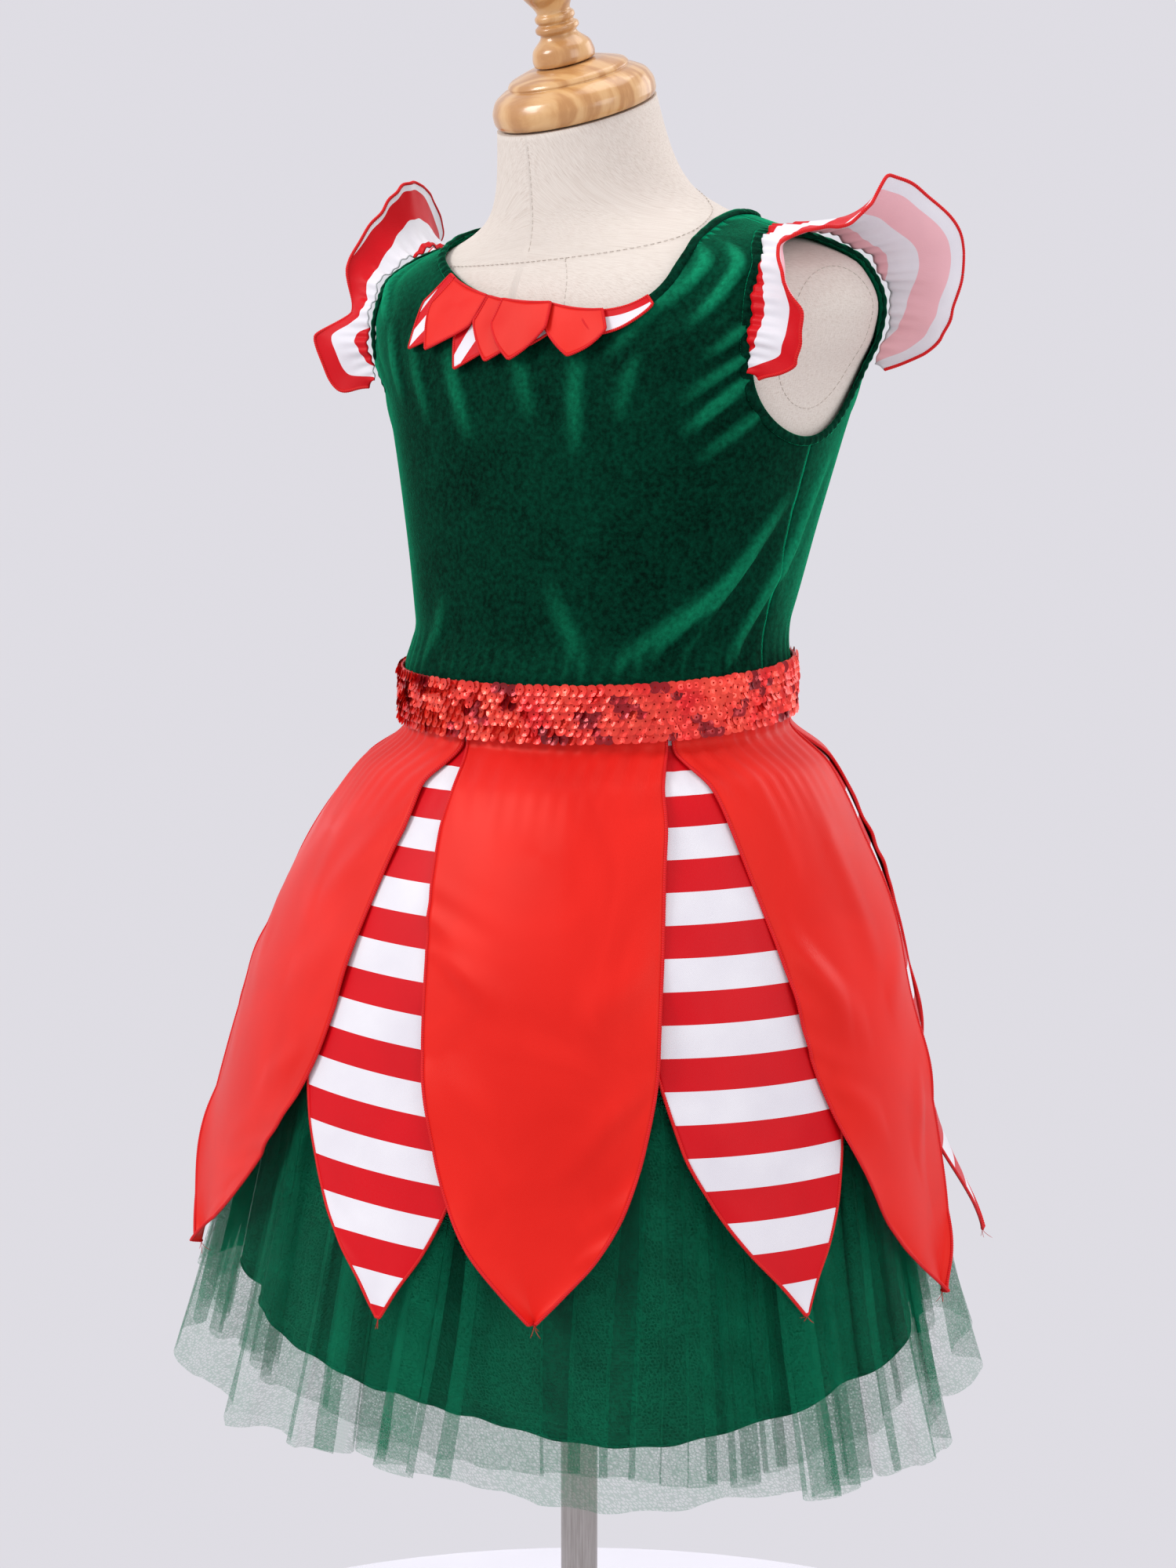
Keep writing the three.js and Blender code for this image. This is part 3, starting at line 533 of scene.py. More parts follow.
def stitch_mesh(name, paths, pitch, length, radius):
    """Separate stitches along paths, each a short rounded thread."""
    stitches = []
    for path in paths:
        points = even_path(path, pitch)
        for a, b in zip(points[:-1], points[1:]):
            reach = (b - a) * length / pitch
            stitches.append([a, a + reach * 0.15, a + reach * 0.85, a + reach])
    return tube_mesh(stitches, radius, sides=5, name=name)


def finish_piece(piece, material, slot, *nodes, inner=None):
    """Gives a piece its materials and its body, and hides the solids that it stands for. The slot is not
    used.
    """
    piece.data.materials.append(material)
    if inner is not None:
        piece.data.materials.append(inner)
    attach(piece, "root")
    if nodes:
        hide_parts(*nodes)
    return piece


def serged_edge(name, rim, radius, spacing, sides, ripple, is_closed=False):
    """The dense overlock thread along a cut edge."""
    serge = tube_mesh([even_path(rim, spacing)], radius, sides, is_closed, ripple, f"{name}_serged_edge")
    return finish_piece(serge, SERGE, "satin")


# Materials

SATIN_PITCH = 0.0009


class Look:
    """A material, with short ways to add nodes to it and to join them."""

    def __init__(self, name, roughness=0.5, metallic=0.0):
        self.material = bpy.data.materials.new(name)
        self.material.use_nodes = True
        self.nodes = self.material.node_tree.nodes
        self.links = self.material.node_tree.links
        self.shader = self.nodes["Principled BSDF"]
        self.set("Roughness", roughness)
        self.set("Metallic", metallic)

    def set(self, name, value):
        self.shader.inputs[name].default_value = value

    def node(self, kind, inputs=None, **settings):
        """A new node. Its inputs are numbers, colours or other nodes' outputs, by number or by name."""
        node = self.nodes.new(f"ShaderNode{kind}")
        for key, value in settings.items():
            setattr(node, key, value)
        for key, value in (inputs or {}).items():
            self.feed(node.inputs[key], value)
        return node

    def feed(self, socket, value):
        if isinstance(value, (int, float)):
            socket.default_value = value
        elif isinstance(value, tuple):
            socket.default_value = (*value, 1)
        else:
            self.links.new(value, socket)

    def colour(self, value):
        self.feed(self.shader.inputs["Base Color"], value)

    def maths(self, operation, *values):
        return self.node("Math", dict(enumerate(values)), operation=operation).outputs[0]

    def mixed(self, factor, first, second, how="MIX"):
        return self.node("Mix", {0: factor, 6: first, 7: second}, data_type="RGBA", blend_type=how).outputs[2]

    def joined(self, *values):
        return self.node("CombineXYZ", dict(enumerate(values))).outputs[0]

    def cloth_place(self):
        """The lengths across and along the cloth, and a third value of its own for each piece."""
        cloth = self.node("Attribute", attribute_name="cloth")
        return self.node("SeparateXYZ", {0: cloth.outputs["Vector"]}).outputs[:]

    def object_place(self):
        return self.node("TexCoord").outputs["Object"]

    def stretched_place(self, scale, rotation=(0, 0, 0)):
        node = self.node("Mapping", {"Vector": self.object_place()})
        node.inputs["Rotation"].default_value = rotation
        node.inputs["Scale"].default_value = scale
        return node.outputs[0]

    def noise(self, vector, scale, detail=3.0, roughness=0.5, distortion=0.0):
        inputs = {"Vector": vector, "Scale": scale, "Detail": detail, "Roughness": roughness}
        return self.node("TexNoise", {**inputs, "Distortion": distortion}).outputs["Fac"]

    def ramp(self, value, *stops):
        node = self.node("ValToRGB", {0: value})
        elements = node.color_ramp.elements
        while len(elements) > 1:
            elements.remove(elements[-1])
        for n, (place, colour) in enumerate(stops):
            element = elements[0] if n == 0 else elements.new(place)
            element.position = place
            element.color = (*colour, 1)
        return node.outputs[0]

    def bump(self, height, distance, strength):
        node = self.node("Bump", {"Strength": strength, "Distance": distance, "Height": height})
        self.feed(self.shader.inputs["Normal"], node.outputs[0])

    def weave(self, across, along, pitch):
        """Over and under threads of a plain weave, from 0 to 1."""
        turns = 2 * math.pi / pitch
        warp = self.maths("SINE", self.maths("MULTIPLY", across, turns))
        weft = self.maths("SINE", self.maths("MULTIPLY", along, turns))
        return self.maths("MULTIPLY_ADD", self.maths("MULTIPLY", warp, weft), 0.5, 0.5)

    def cloth_relief(self, across, along, soft, share):
        """The relief of a satin: its weave, over slow unevenness."""
        ribs = self.weave(across, along, SATIN_PITCH)
        self.bump(self.maths("ADD", ribs, self.maths("MULTIPLY", soft, share)), 0.00008, 0.5)


def velvet_material():
    look = Look("velvet", 0.85)
    vector = look.object_place()
    pile = look.noise(vector, 1500, 2)
    crushed = look.noise(vector, 38, 3, 0.55, 0.6)
    mottled = look.noise(vector, 420, 3, 0.6)
    body = look.ramp(crushed, (0.3, (0.0004, 0.009, 0.005)), (0.72, (0.001, 0.034, 0.017)))
    speckled = look.ramp(mottled, (0.35, (0.0003, 0.006, 0.003)), (0.7, (0.001, 0.06, 0.03)))
    dark = look.mixed(0.5, body, speckled)
    # Painted sheen: the colour turns a lighter emerald on creases, shoulders and sides, where the point
    # attribute says.
    painted_sheen = look.node("Attribute", attribute_name="painted_sheen").outputs["Fac"]
    share = look.maths("MULTIPLY", painted_sheen, look.maths("MULTIPLY_ADD", mottled, 1.5, 0.25))
    share = look.maths("MINIMUM", share, 1.0)
    look.colour(look.mixed(share, dark, (0.006, 0.26, 0.12)))
    look.set("Sheen Weight", 1.0)
    look.set("Sheen Roughness", 0.22)
    look.set("Sheen Tint", (0.003, 0.75, 0.33, 1))
    look.set("Specular IOR Level", 0.03)
    height = look.maths("ADD", pile, look.maths("MULTIPLY", crushed, 2.0))
    look.bump(height, 0.0004, 0.6)
    return look.material


def red_satin_material(name):
    look = Look(name, 0.4)
    across, along, _ = look.cloth_place()
    soft = look.noise(look.object_place(), 16, 3, 0.5, 0.8)
    look.colour(look.ramp(soft, (0.3, (0.68, 0.012, 0.008)), (0.7, (0.78, 0.018, 0.012))))
    look.set("Specular IOR Level", 0.3)
    look.set("Specular Tint", (1, 0.45, 0.36, 1))
    look.set("Anisotropic", 0.5)
    look.cloth_relief(across, along, soft, 6.0)
    return look.material


def stripe_material(name, red, period, roughness=0.42):
    look = Look(name, roughness)
    across, along, shift = look.cloth_place()
    place = look.maths("ADD", along, shift)
    turns = look.maths("FRACT", look.maths("MULTIPLY", place, 1 / period))
    is_red = look.maths("GREATER_THAN", turns, 0.5)
    colour = look.mixed(is_red, STRIPE_WHITE, red)
    soft = look.noise(look.object_place(), 30, 3, 0.5)
    shade = look.ramp(soft, (0.3, (0.9, 0.89, 0.91)), (0.7, (1, 1, 1)))
    look.colour(look.mixed(1, colour, shade, "MULTIPLY"))
    look.set("Specular IOR Level", 0.15)
    look.cloth_relief(across, along, soft, 5.0)
    return look.material


THREAD_TWIST = 0.0011


def thread_material(name, colour):
    look = Look(name, 0.6)
    around, along, _ = look.cloth_place()
    turns = 2 * math.pi
    twist = look.maths("MULTIPLY_ADD", along, turns / THREAD_TWIST, 0.0)
    twist = look.maths("ADD", twist, look.maths("MULTIPLY", around, turns))
    ridge = look.maths("MULTIPLY_ADD", look.maths("SINE", twist), 0.5, 0.5)
    # Painted shade: the colour is darker in the grooves of the twist.
    dark = tuple(0.65 * c for c in colour)
    look.colour(look.mixed(ridge, dark, colour))
    look.set("Specular IOR Level", 0.2)
    look.bump(ridge, 0.0001, 0.5)
    return look.material


def sequin_material(name, low, high):
    look = Look(name, 0.3, 0.6)
    patches = look.noise(look.object_place(), 60, 2, 0.5)
    # The lighter, paler colour in the patches is painted highlight.
    look.colour(look.ramp(patches, (0.35, low), (0.65, high)))
    look.set("Coat Weight", 0.2)
    look.set("Coat Roughness", 0.1)
    return look.material


NET_CELLS = 620
NET_THREAD = 0.13


def net_material(name, colour, cover):
    look = Look(name, 0.7)
    across, along, _ = look.cloth_place()
    place = look.joined(across, along)
    inputs = {"Scale": NET_CELLS, "Randomness": 0.6, "Vector": place}
    cells = look.node("TexVoronoi", inputs, feature="DISTANCE_TO_EDGE")
    thread = look.maths("LESS_THAN", cells.outputs["Distance"], NET_THREAD)
    soft = look.noise(place, 40, 3, 0.6)
    thin = look.maths("MULTIPLY_ADD", soft, 0.22, cover - 0.11)
    alpha = look.maths("MULTIPLY_ADD", thread, 0.2, thin)
    look.feed(look.shader.inputs["Alpha"], alpha)
    look.colour(look.ramp(soft, (0.3, tuple(0.75 * c for c in colour)), (0.7, colour)))
    look.set("Specular IOR Level", 0.1)
    return look.material


def lining_material():
    look = Look("lining", 0.75)
    across, along, _ = look.cloth_place()
    soft = look.noise(look.object_place(), 26, 3, 0.5)
    look.colour(look.ramp(soft, (0.3, (0.0015, 0.018, 0.011)), (0.7, (0.003, 0.032, 0.02))))
    look.set("Specular IOR Level", 0.15)
    look.bump(look.weave(across, along, 0.0008), 0.00006, 0.5)
    return look.material


def linen_material():
    look = Look("linen", 0.92)
    across, along, _ = look.cloth_place()
    slubs = look.noise(look.joined(look.maths("MULTIPLY", across, 0.25), along), 1700, 3, 0.7)
    warp = look.noise(look.joined(across, look.maths("MULTIPLY", along, 0.25)), 1700, 3, 0.7)
    both = look.maths("MULTIPLY_ADD", look.maths("ADD", slubs, warp), 0.5, 0.0)
    tones = (0.36, (0.58, 0.5, 0.43)), (0.5, (0.7, 0.63, 0.56)), (0.64, (0.76, 0.7, 0.63))
    look.colour(look.ramp(both, *tones))
    look.bump(look.maths("ADD", look.weave(across, along, 0.0012), both), 0.0001, 0.5)
    return look.material


def wood_material():
    look = Look("honey_wood", 0.28)
    place = look.stretched_place((1.0, 5.5, 1.0), (0.35, 0.2, 0.5))
    inputs = {"Scale": 13, "Distortion": 9, "Detail": 3, "Detail Scale": 1.4, "Vector": place}
    rings = look.node("TexWave", inputs, wave_type="BANDS")
    fibres = look.noise(place, 260, 4, 0.6)
    grain = look.maths("MULTIPLY_ADD", fibres, 0.45, look.maths("MULTIPLY", rings.outputs["Fac"], 0.55))
    tones = (0.25, (0.5, 0.24, 0.08)), (0.5, (0.6, 0.32, 0.12)), (0.75, (0.68, 0.4, 0.17))
    look.colour(look.ramp(grain, *tones))
    look.set("Coat Weight", 0.5)
    look.set("Coat Roughness", 0.12)
    look.bump(grain, 0.0002, 0.25)
    return look.material


def steel_material():
    look = Look("taupe_steel", 0.34, 0.9)
    drawn = look.noise(look.stretched_place((1, 1, 0.04)), 900, 3, 0.6)
    look.colour(look.ramp(drawn, (0.3, (0.33, 0.3, 0.28)), (0.7, (0.47, 0.44, 0.42))))
    look.bump(drawn, 0.0001, 0.2)
    return look.material


VELVET = velvet_material()
RED_SATIN = red_satin_material("red_satin")
LINING = lining_material()
LINEN = linen_material()
WOOD = wood_material()
STEEL = steel_material()
SERGE = thread_material("serge_thread", (0.8, 0.012, 0.014))
GREEN_THREAD = thread_material("green_thread", (0.004, 0.07, 0.035))
LINEN_THREAD = thread_material("linen_thread", (0.72, 0.65, 0.57))
SEQUIN_BRIGHT = sequin_material("sequin_bright", (0.75, 0.01, 0.012), (0.95, 0.07, 0.04))
# The dark sequins are a darker copy of the red sequins: painted dark reflection, laid in patches.
SEQUIN_DARK = sequin_material("sequin_painted_dark", (0.2, 0.002, 0.006), (0.4, 0.004, 0.01))
BELT_CLOTH = red_satin_material("belt_backing")
STRIPE_RED = (0.66, 0.003, 0.009)
STRIPE_WHITE = (0.82, 0.8, 0.83)
PALE_RED = (0.9, 0.5, 0.53)
NET_OUTER = net_material("net_outer", (0.001, 0.2, 0.095), 0.16)
NET_INNER = net_material("net_inner", (0.001, 0.15, 0.07), 0.16)


# Creases, given one by one: start and end as bearing in degrees and height, depth and width in millimetres

BODICE_CREASES = table(
    "start_turn start_height end_turn end_height depth width",
    (72, 184, 46, 146, 2.4, 3.4),
    (74, 172, 44, 126, 2.0, 3.8),
    (72, 160, 50, 118, 2.2, 3.6),
    (58, 196, 40, 160, 2.2, 3.2),
    (50, 196, 34, 168, 1.8, 3.0),
    (74, 146, 46, 112, 1.8, 4.2),
    (76, 130, 52, 100, 1.4, 4.6),
    (40, 188, 22, 146, 1.2, 4.2),
    (-74, 186, -50, 148, 2.2, 3.4),
    (-76, 170, -44, 134, 1.9, 3.8),
    (-60, 196, -40, 166, 2.0, 3.2),
    (-74, 150, -50, 118, 1.7, 4.2),
    (-78, 132, -56, 104, 1.3, 4.6),
    (-38, 168, -32, 128, 1.5, 3.6),
    (-27, 164, -20, 118, 1.2, 4.0),
    (-14, 160, -6, 110, 1.4, 4.2),
    (2, 158, 8, 120, 1.1, 4.0),
    (16, 156, 20, 104, 1.4, 4.4),
    (30, 158, 30, 118, 1.0, 4.4),
    (88, 84, 56, 8, 2.2, 4.4),
    (78, 58, 42, 2, 1.8, 4.2),
    (96, 62, 74, 4, 2.0, 4.2),
    (102, 100, 90, 28, 1.6, 5.0),
    (64, 40, 34, 4, 1.2, 4.8),
    (-84, 76, -60, 6, 1.9, 4.6),
    (-94, 60, -74, 4, 1.8, 4.2),
    (14, 46, 28, 4, 1.0, 5.6),
    (-20, 38, -32, 4, 1.0, 5.4),
    (118, 152, 142, 112, 2.0, 4.2),
    (116, 130, 148, 92, 1.7, 4.6),
    (-118, 154, -140, 116, 2.0, 4.2),
    (-114, 128, -150, 86, 1.7, 4.6),
    (150, 62, 130, 6, 1.8, 5.0),
    (176, 54, 166, 4, 1.5, 5.2),
    (-156, 58, -138, 6, 1.8, 5.0),
    (160, 190, 176, 148, 1.3, 5.0),
    (-164, 186, -176, 138, 1.2, 5.4),
)


BODICE_RADIUS = 105


def along_line(px, py, dx, dy, power):
    """How full a ridge is along its line, which fades at both ends, and the distance across the line."""
    length = math.hypot(dx, dy)
    along = (px * dx + py * dy) / length
    return np.sin(np.pi * np.clip(along / length, 0, 1)) ** power, (py * dx - px * dy) / length


def crease_depth(bearing, height):
    """Ridges with a hollow on one side, along short lines over the bodice."""
    total = np.zeros(np.broadcast(bearing, height).shape)
    for crease in BODICE_CREASES:
        for lap in (-2 * math.pi, 0, 2 * math.pi):
            x0 = math.radians(crease["start_turn"]) * BODICE_RADIUS
            x1 = math.radians(crease["end_turn"]) * BODICE_RADIUS
            y0, y1 = crease["start_height"], crease["end_height"]
            px, py = (bearing + lap) * BODICE_RADIUS - x0, height - y0
            dx, dy = x1 - x0, y1 - y0
            taper, across = along_line(px, py, dx, dy, 0.7)
            w = crease["width"]
            wave = np.exp(-(across / w) ** 2) - 0.6 * np.exp(-((across - 1.7 * w) / w) ** 2)
            total += crease["depth"] * taper * wave
    return total


# Bodice

BODICE_HEIGHTS = np.linspace(-13.7, 215, 118)
UNDER_BINDING = 0.55
SIDE_SEAM = 0.0008


def bodice_offset(height):
    return blend(BODICE_WAIST_OFFSET, BODICE_OFFSET, smooth(height, -2, 22))


def inside_neck(x, height, is_front, grow):
    """True where a place of the bodice lies inside the neck opening."""
    middle = 0 if is_front else np.pi
    turn = middle + np.linspace(-np.pi / 2, np.pi / 2, 61)
    edge_x, edge_height = neck_outline(turn, grow)
    above = 400
    edge_x = np.concatenate([edge_x, edge_x[-1:], edge_x[:1]])
    edge_height = np.concatenate([edge_height, [above, above]])
    inside = np.zeros(np.shape(x), bool)
    for n in range(len(edge_x)):
        x0, h0, x1, h1 = edge_x[n - 1], edge_height[n - 1], edge_x[n], edge_height[n]
        if h0 == h1:
            continue
        crosses = (h0 > height) != (h1 > height)
        inside ^= crosses & (x < x0 + (x1 - x0) * (height - h0) / (h1 - h0))
    return inside


def painted_sheen_mask(bearing, height, crease):
    """Painted sheen on the velvet, from 0 to 1: lighter on creases, shoulders and sides, not the middle."""
    ridges = np.clip(crease / 1.6, 0, 1) ** 1.3
    shoulders = 0.35 * smooth(height, 150, 200)
    turn = np.degrees(bearing)
    far_side = 0.4 * smooth(turn, 84, 104) * (1 - smooth(turn, 112, 135)) * smooth(height, 0, 40)
    near_side = 0.28 * smooth(-turn, 30, 62) * (1 - smooth(-turn, 92, 120))
    return np.clip(0.5 * ridges + shoulders * (0.4 + ridges) + far_side + near_side, 0, 1)


def bodice(name, is_front, node):
    """One panel of the bodice, from side seam to side seam, with its openings left out."""
    reach = np.pi / 2 - SIDE_SEAM
    even = np.linspace(-reach, reach, 150)
    turn = even if is_front else np.pi + even
    bearing, height = np.meshgrid(turn, BODICE_HEIGHTS)
    wrapped = (bearing + np.pi) % (2 * np.pi) - np.pi
    quiet = smooth(height, -8, 6)
    gathers = 0.35 * np.sin(bearing * 78 + 3 * np.sin(bearing * 5)) * (1 - smooth(height, 2, 26)) * quiet
    crease = crease_depth(wrapped, height) * quiet + gathers
    points = moved_out(form_point, bearing, height, bodice_offset(height) + np.maximum(crease, -0.7))
    flat = form_point(bearing, height)
    level_x = flat[..., 0] - ASLANT["sway"](height)
    centre_x = (level_x[:-1, :-1] + level_x[1:, 1:]) / 2
    centre_y = (flat[:-1, :-1, 1] + flat[1:, 1:, 1]) / 2
    centre_h = (height[:-1, :-1] + height[1:, 1:]) / 2
    grow = BINDING_WIDTH * UNDER_BINDING
    in_arm = ((centre_y - ARM_Y) / (ARM_HALF_DEPTH + grow)) ** 2
    in_arm = in_arm + ((centre_h - ARM_HEIGHT) / (ARM_HALF_HEIGHT + grow)) ** 2 < 1
    in_arm &= np.abs(centre_x) > ARM_INSIDE
    keep = ~(in_arm | inside_neck(centre_x, centre_h, is_front, grow))
    piece = grid_object(name, points, cloth=cloth_lengths(points), keep=keep)
    # Painted sheen for the velvet, lighter on creases, shoulders and sides, kept as a point attribute.
    sheen_paint = painted_sheen_mask(wrapped, height, crease)
    layer = piece.data.attributes.new("painted_sheen", "FLOAT", "POINT")
    layer.data.foreach_set("value", np.asarray(sheen_paint, np.float32).ravel())
    change_mesh(piece, drop_loose_vertices)
    solidify(piece, VELVET_THICKNESS)
    finish_piece(piece, VELVET, "velvet", node)


def change_mesh(piece, change):
    mesh = bmesh.new()
    mesh.from_mesh(piece.data)
    mesh.verts.ensure_lookup_table()
    change(mesh)
    mesh.to_mesh(piece.data)
    mesh.free()


def drop_loose_vertices(mesh):
    bmesh.ops.delete(mesh, geom=[v for v in mesh.verts if not v.link_faces], context="VERTS")


bodice("bodice_front_cloth", True, "bodice_front")
bodice("bodice_back_cloth", False, "bodice_back")


# Bindings: a rolled edge drawn up into small puckers

def binding(name, edge_point, puckers, node):
    """A tube round an opening, a little flat, whose puckers lean to and fro."""
    around, ring = 8 * puckers, 10
    turn = np.linspace(0, 2 * np.pi, around, endpoint=False)
    angle = np.linspace(0, 2 * np.pi, ring, endpoint=False)
    turns, angles = np.meshgrid(turn, angle)
    pucker = 1 + 0.2 * np.cos(turns * puckers + 1.1 * np.sin(turns * 7))
    lean = 0.5 * np.sin(turns * puckers * 0.5 + 2 * np.sin(3 * turns))
    grow = BINDING_WIDTH / 2 + (BINDING_WIDTH / 2) * np.cos(angles)
    offset = BINDING_OFFSET + 1.15 * np.sin(angles) * pucker
    points = edge_point(turns + lean * 0.004, grow, offset)
    closed = np.concatenate([points, points[:1]], axis=0)
    cloth = cloth_lengths(closed)[:-1]
    piece = new_object(name, world(points), grid_faces(ring, around, True, True), {"cloth": cloth})
    finish_piece(piece, VELVET, "velvet", node)


binding("neck_binding_cloth", neck_point, 92, "neck_binding")
for arm_side, arm_name in ((1, "left"), (-1, "right")):
    binding(
        f"armhole_binding_{arm_name}_cloth",
        lambda turn, grow, offset, side=arm_side: arm_point(side, turn, grow, offset),
        60,
        f"armhole_binding_{arm_name}",
    )


# Flutter sleeves

SLEEVE_GATHERS = 11
GATHER_DEPTH = 1.2
SLEEVE_STRIPE = 0.030

PRINT_SHIFTS = table(
    "angle shift",
    (-104, 20),
    (-70, 20),
    (-35, 12),
    (0, 11),
    (16, 8),
    (104, 8),
)
PRINT_SHIFT = reader(PRINT_SHIFTS, "angle", "shift")


def sleeve_point(side, edge, first, last, u, t):
    """From the gathered root (t 0) to the rim (t 1), whose edge ripples where the serging stretches it."""
    degrees = blend(first, last, u)
    angle = np.radians(degrees)
    root = arm_point(side, angle, BINDING_WIDTH / 2, SLEEVE_ROOT_OFFSET)
    leave = t + 0.2 * np.sin(np.pi * t)
    bend = t**1.4
    gather = GATHER_DEPTH * (1 - t) ** 1.5 * np.cos(2 * np.pi * SLEEVE_GATHERS * u)
    fine = 0.7 * np.clip(1 - 2.2 * t, 0, 1) * np.cos(2 * np.pi * 37 * u + 2 * np.sin(9 * u))
    lettuce = 0.45 * t**6 * np.sin(2 * np.pi * 17 * u + 3 * np.sin(13 * u))
    out = side * (edge["out"](degrees) * leave + lettuce)
    aft = edge["aft"](degrees) * bend + (gather + fine) * np.sin(angle)
    rise = edge["up"](degrees) * bend + (gather + fine) * np.cos(angle) + 0.6 * lettuce
    return root + np.stack([out, aft, rise], axis=-1)


def sleeve(name, side, rows, node):
    edge = readers(rows, "angle")
    first, last = rows[0]["angle"], rows[-1]["angle"]
    u, t = np.meshgrid(np.linspace(0, 1, 240), np.linspace(0, 1, 30))
    points = sleeve_point(side, edge, first, last, u, t)
    cloth = cloth_lengths(points)
    cloth[..., 1] = cloth[-1:, :, 1] - cloth[..., 1]
    cloth[..., 2] = PRINT_SHIFT(blend(first, last, u)) * MM
    piece = grid_object(name, points, cloth=cloth, goes_down=side > 0)
    solidify(piece, SATIN_THICKNESS, inner_slot=1)
    outside = stripe_material(f"{name}_print", STRIPE_RED, SLEEVE_STRIPE)
    inside = stripe_material(f"{name}_reverse", PALE_RED, SLEEVE_STRIPE, 0.6)
    finish_piece(piece, outside, "stripe", node, inner=inside)
    serge = serged_edge(name, points[-1], 0.85, 0.55, 7, 0.1)


sleeve("sleeve_left_cloth", 1, LEFT_SLEEVE, "sleeve_left")
sleeve("sleeve_right_cloth", -1, RIGHT_SLEEVE, "sleeve_right")


# Neck trim: small petals folded over the neckline, each serged all round

TRIM_STRIPE = 0.021
TRIM_PRINT = stripe_material("trim_print", STRIPE_RED, TRIM_STRIPE)

TRIM_PRINT_ROWS = table(
    "name tilt shift",
    ("trim_1_striped", 70, 2),
    ("trim_3_striped", 75, 3),
    ("trim_6_striped", 0, 8.5),
    ("trim_8_striped", 0, 17.5),
)
TRIM_PRINTS = {row["name"]: row for row in TRIM_PRINT_ROWS}


def trim_petal(row):
    """A small petal that hangs from the neckline: widest in the middle, and lifted a little at its edge."""
    u, v = np.meshgrid(np.linspace(0, 1, 34), np.linspace(0, 1, 16))
    rounded = np.where(u < row["low"], u / row["low"], (1 - u) / (1 - row["low"]))
    reach = row["drop"] * (0.45 + 0.55 * rounded**0.85)
    turn = np.radians(blend(row["start"], row["end"], u))
    offset = TRIM_OFFSET + row["layer"] * TRIM_LAYER_STEP
    lift = 0.5 * np.sin(u * 9 + row["start"]) * v + 0.7 * v**3
    points = neck_point(turn, 1 + (reach - 1) * v, offset + lift)
    cloth = cloth_lengths(points)
    is_striped = row["kind"] == "striped"
    if is_striped:
        lay = TRIM_PRINTS[row["name"]]
        tilt = math.radians(lay["tilt"])
        place = cloth[..., 1] * math.cos(tilt) + cloth[..., 0] * math.sin(tilt) + lay["shift"] * MM
        cloth[..., 2] = place - cloth[..., 1]
    piece = grid_object(f"{row['name']}_cloth", points, cloth=cloth, goes_down=True)
    solidify(piece, SATIN_THICKNESS)
    if is_striped:
        finish_piece(piece, TRIM_PRINT, "stripe", row["name"])
    else:
        finish_piece(piece, RED_SATIN, "satin", row["name"])
    rim = np.concatenate([points[:, 0], points[-1, 1:], points[::-1, -1][1:], points[0, ::-1][1:-1]])
    serge = serged_edge(row["name"], rim, 0.7, 0.5, 6, 0.12, is_closed=True)


for trim_row in TRIM_PETALS:
    trim_petal(trim_row)


# Belt: a cloth band covered with overlapping cupped sequins

BELT_LEVEL = -14.0
BELT_CLOTH_THICKNESS = 1.4


def belt_surface(bearing, down, offset):
    """The belt stands straight, so each bearing keeps one place all the way down."""
    point = moved_out(form_point, bearing, np.full(np.shape(bearing), BELT_LEVEL), offset)
    slope = float(ASLANT["slope"](0))
    point[..., 2] = point[..., 1] * math.tan(math.radians(BELT_LEAN)) + point[..., 0] * slope - down
    return point


def belt_band():
    around = np.linspace(0, 2 * np.pi, 220, endpoint=False)
    bearing, down = np.meshgrid(around, np.linspace(0, BELT_HEIGHT, 10))
    points = belt_surface(bearing, down, BELT_OFFSET - 0.3)
    piece = grid_object("belt_band", points, is_round=True, cloth=cloth_lengths(points), goes_down=True)
    solidify(piece, BELT_CLOTH_THICKNESS)
    finish_piece(piece, BELT_CLOTH, "sequin", "belt")


SEQUIN_RADIUS = 2.9
SEQUIN_ROWS = 7
SEQUIN_HOLE = 0.45
SEQUINS_PER_ROW = 138
SEQUIN_LIFT = 1.25
DARK_PATCH = 1.15


def sequin_shape(sides=12):
    """A cupped disc with a hole, in rings of radius and lift."""
    rings = ((SEQUIN_HOLE, 0.0), (SEQUIN_RADIUS * 0.5, 0.06), (SEQUIN_RADIUS, 0.45))
    vertices = []
    for radius, lift in rings:
        for k in range(sides):
            angle = 2 * math.pi * k / sides
            wave = 1 + 0.02 * math.cos(6 * angle)
            vertices.append((radius * wave * math.cos(angle), radius * wave * math.sin(angle), lift))
    return np.array(vertices), grid_faces(len(rings), sides, True)


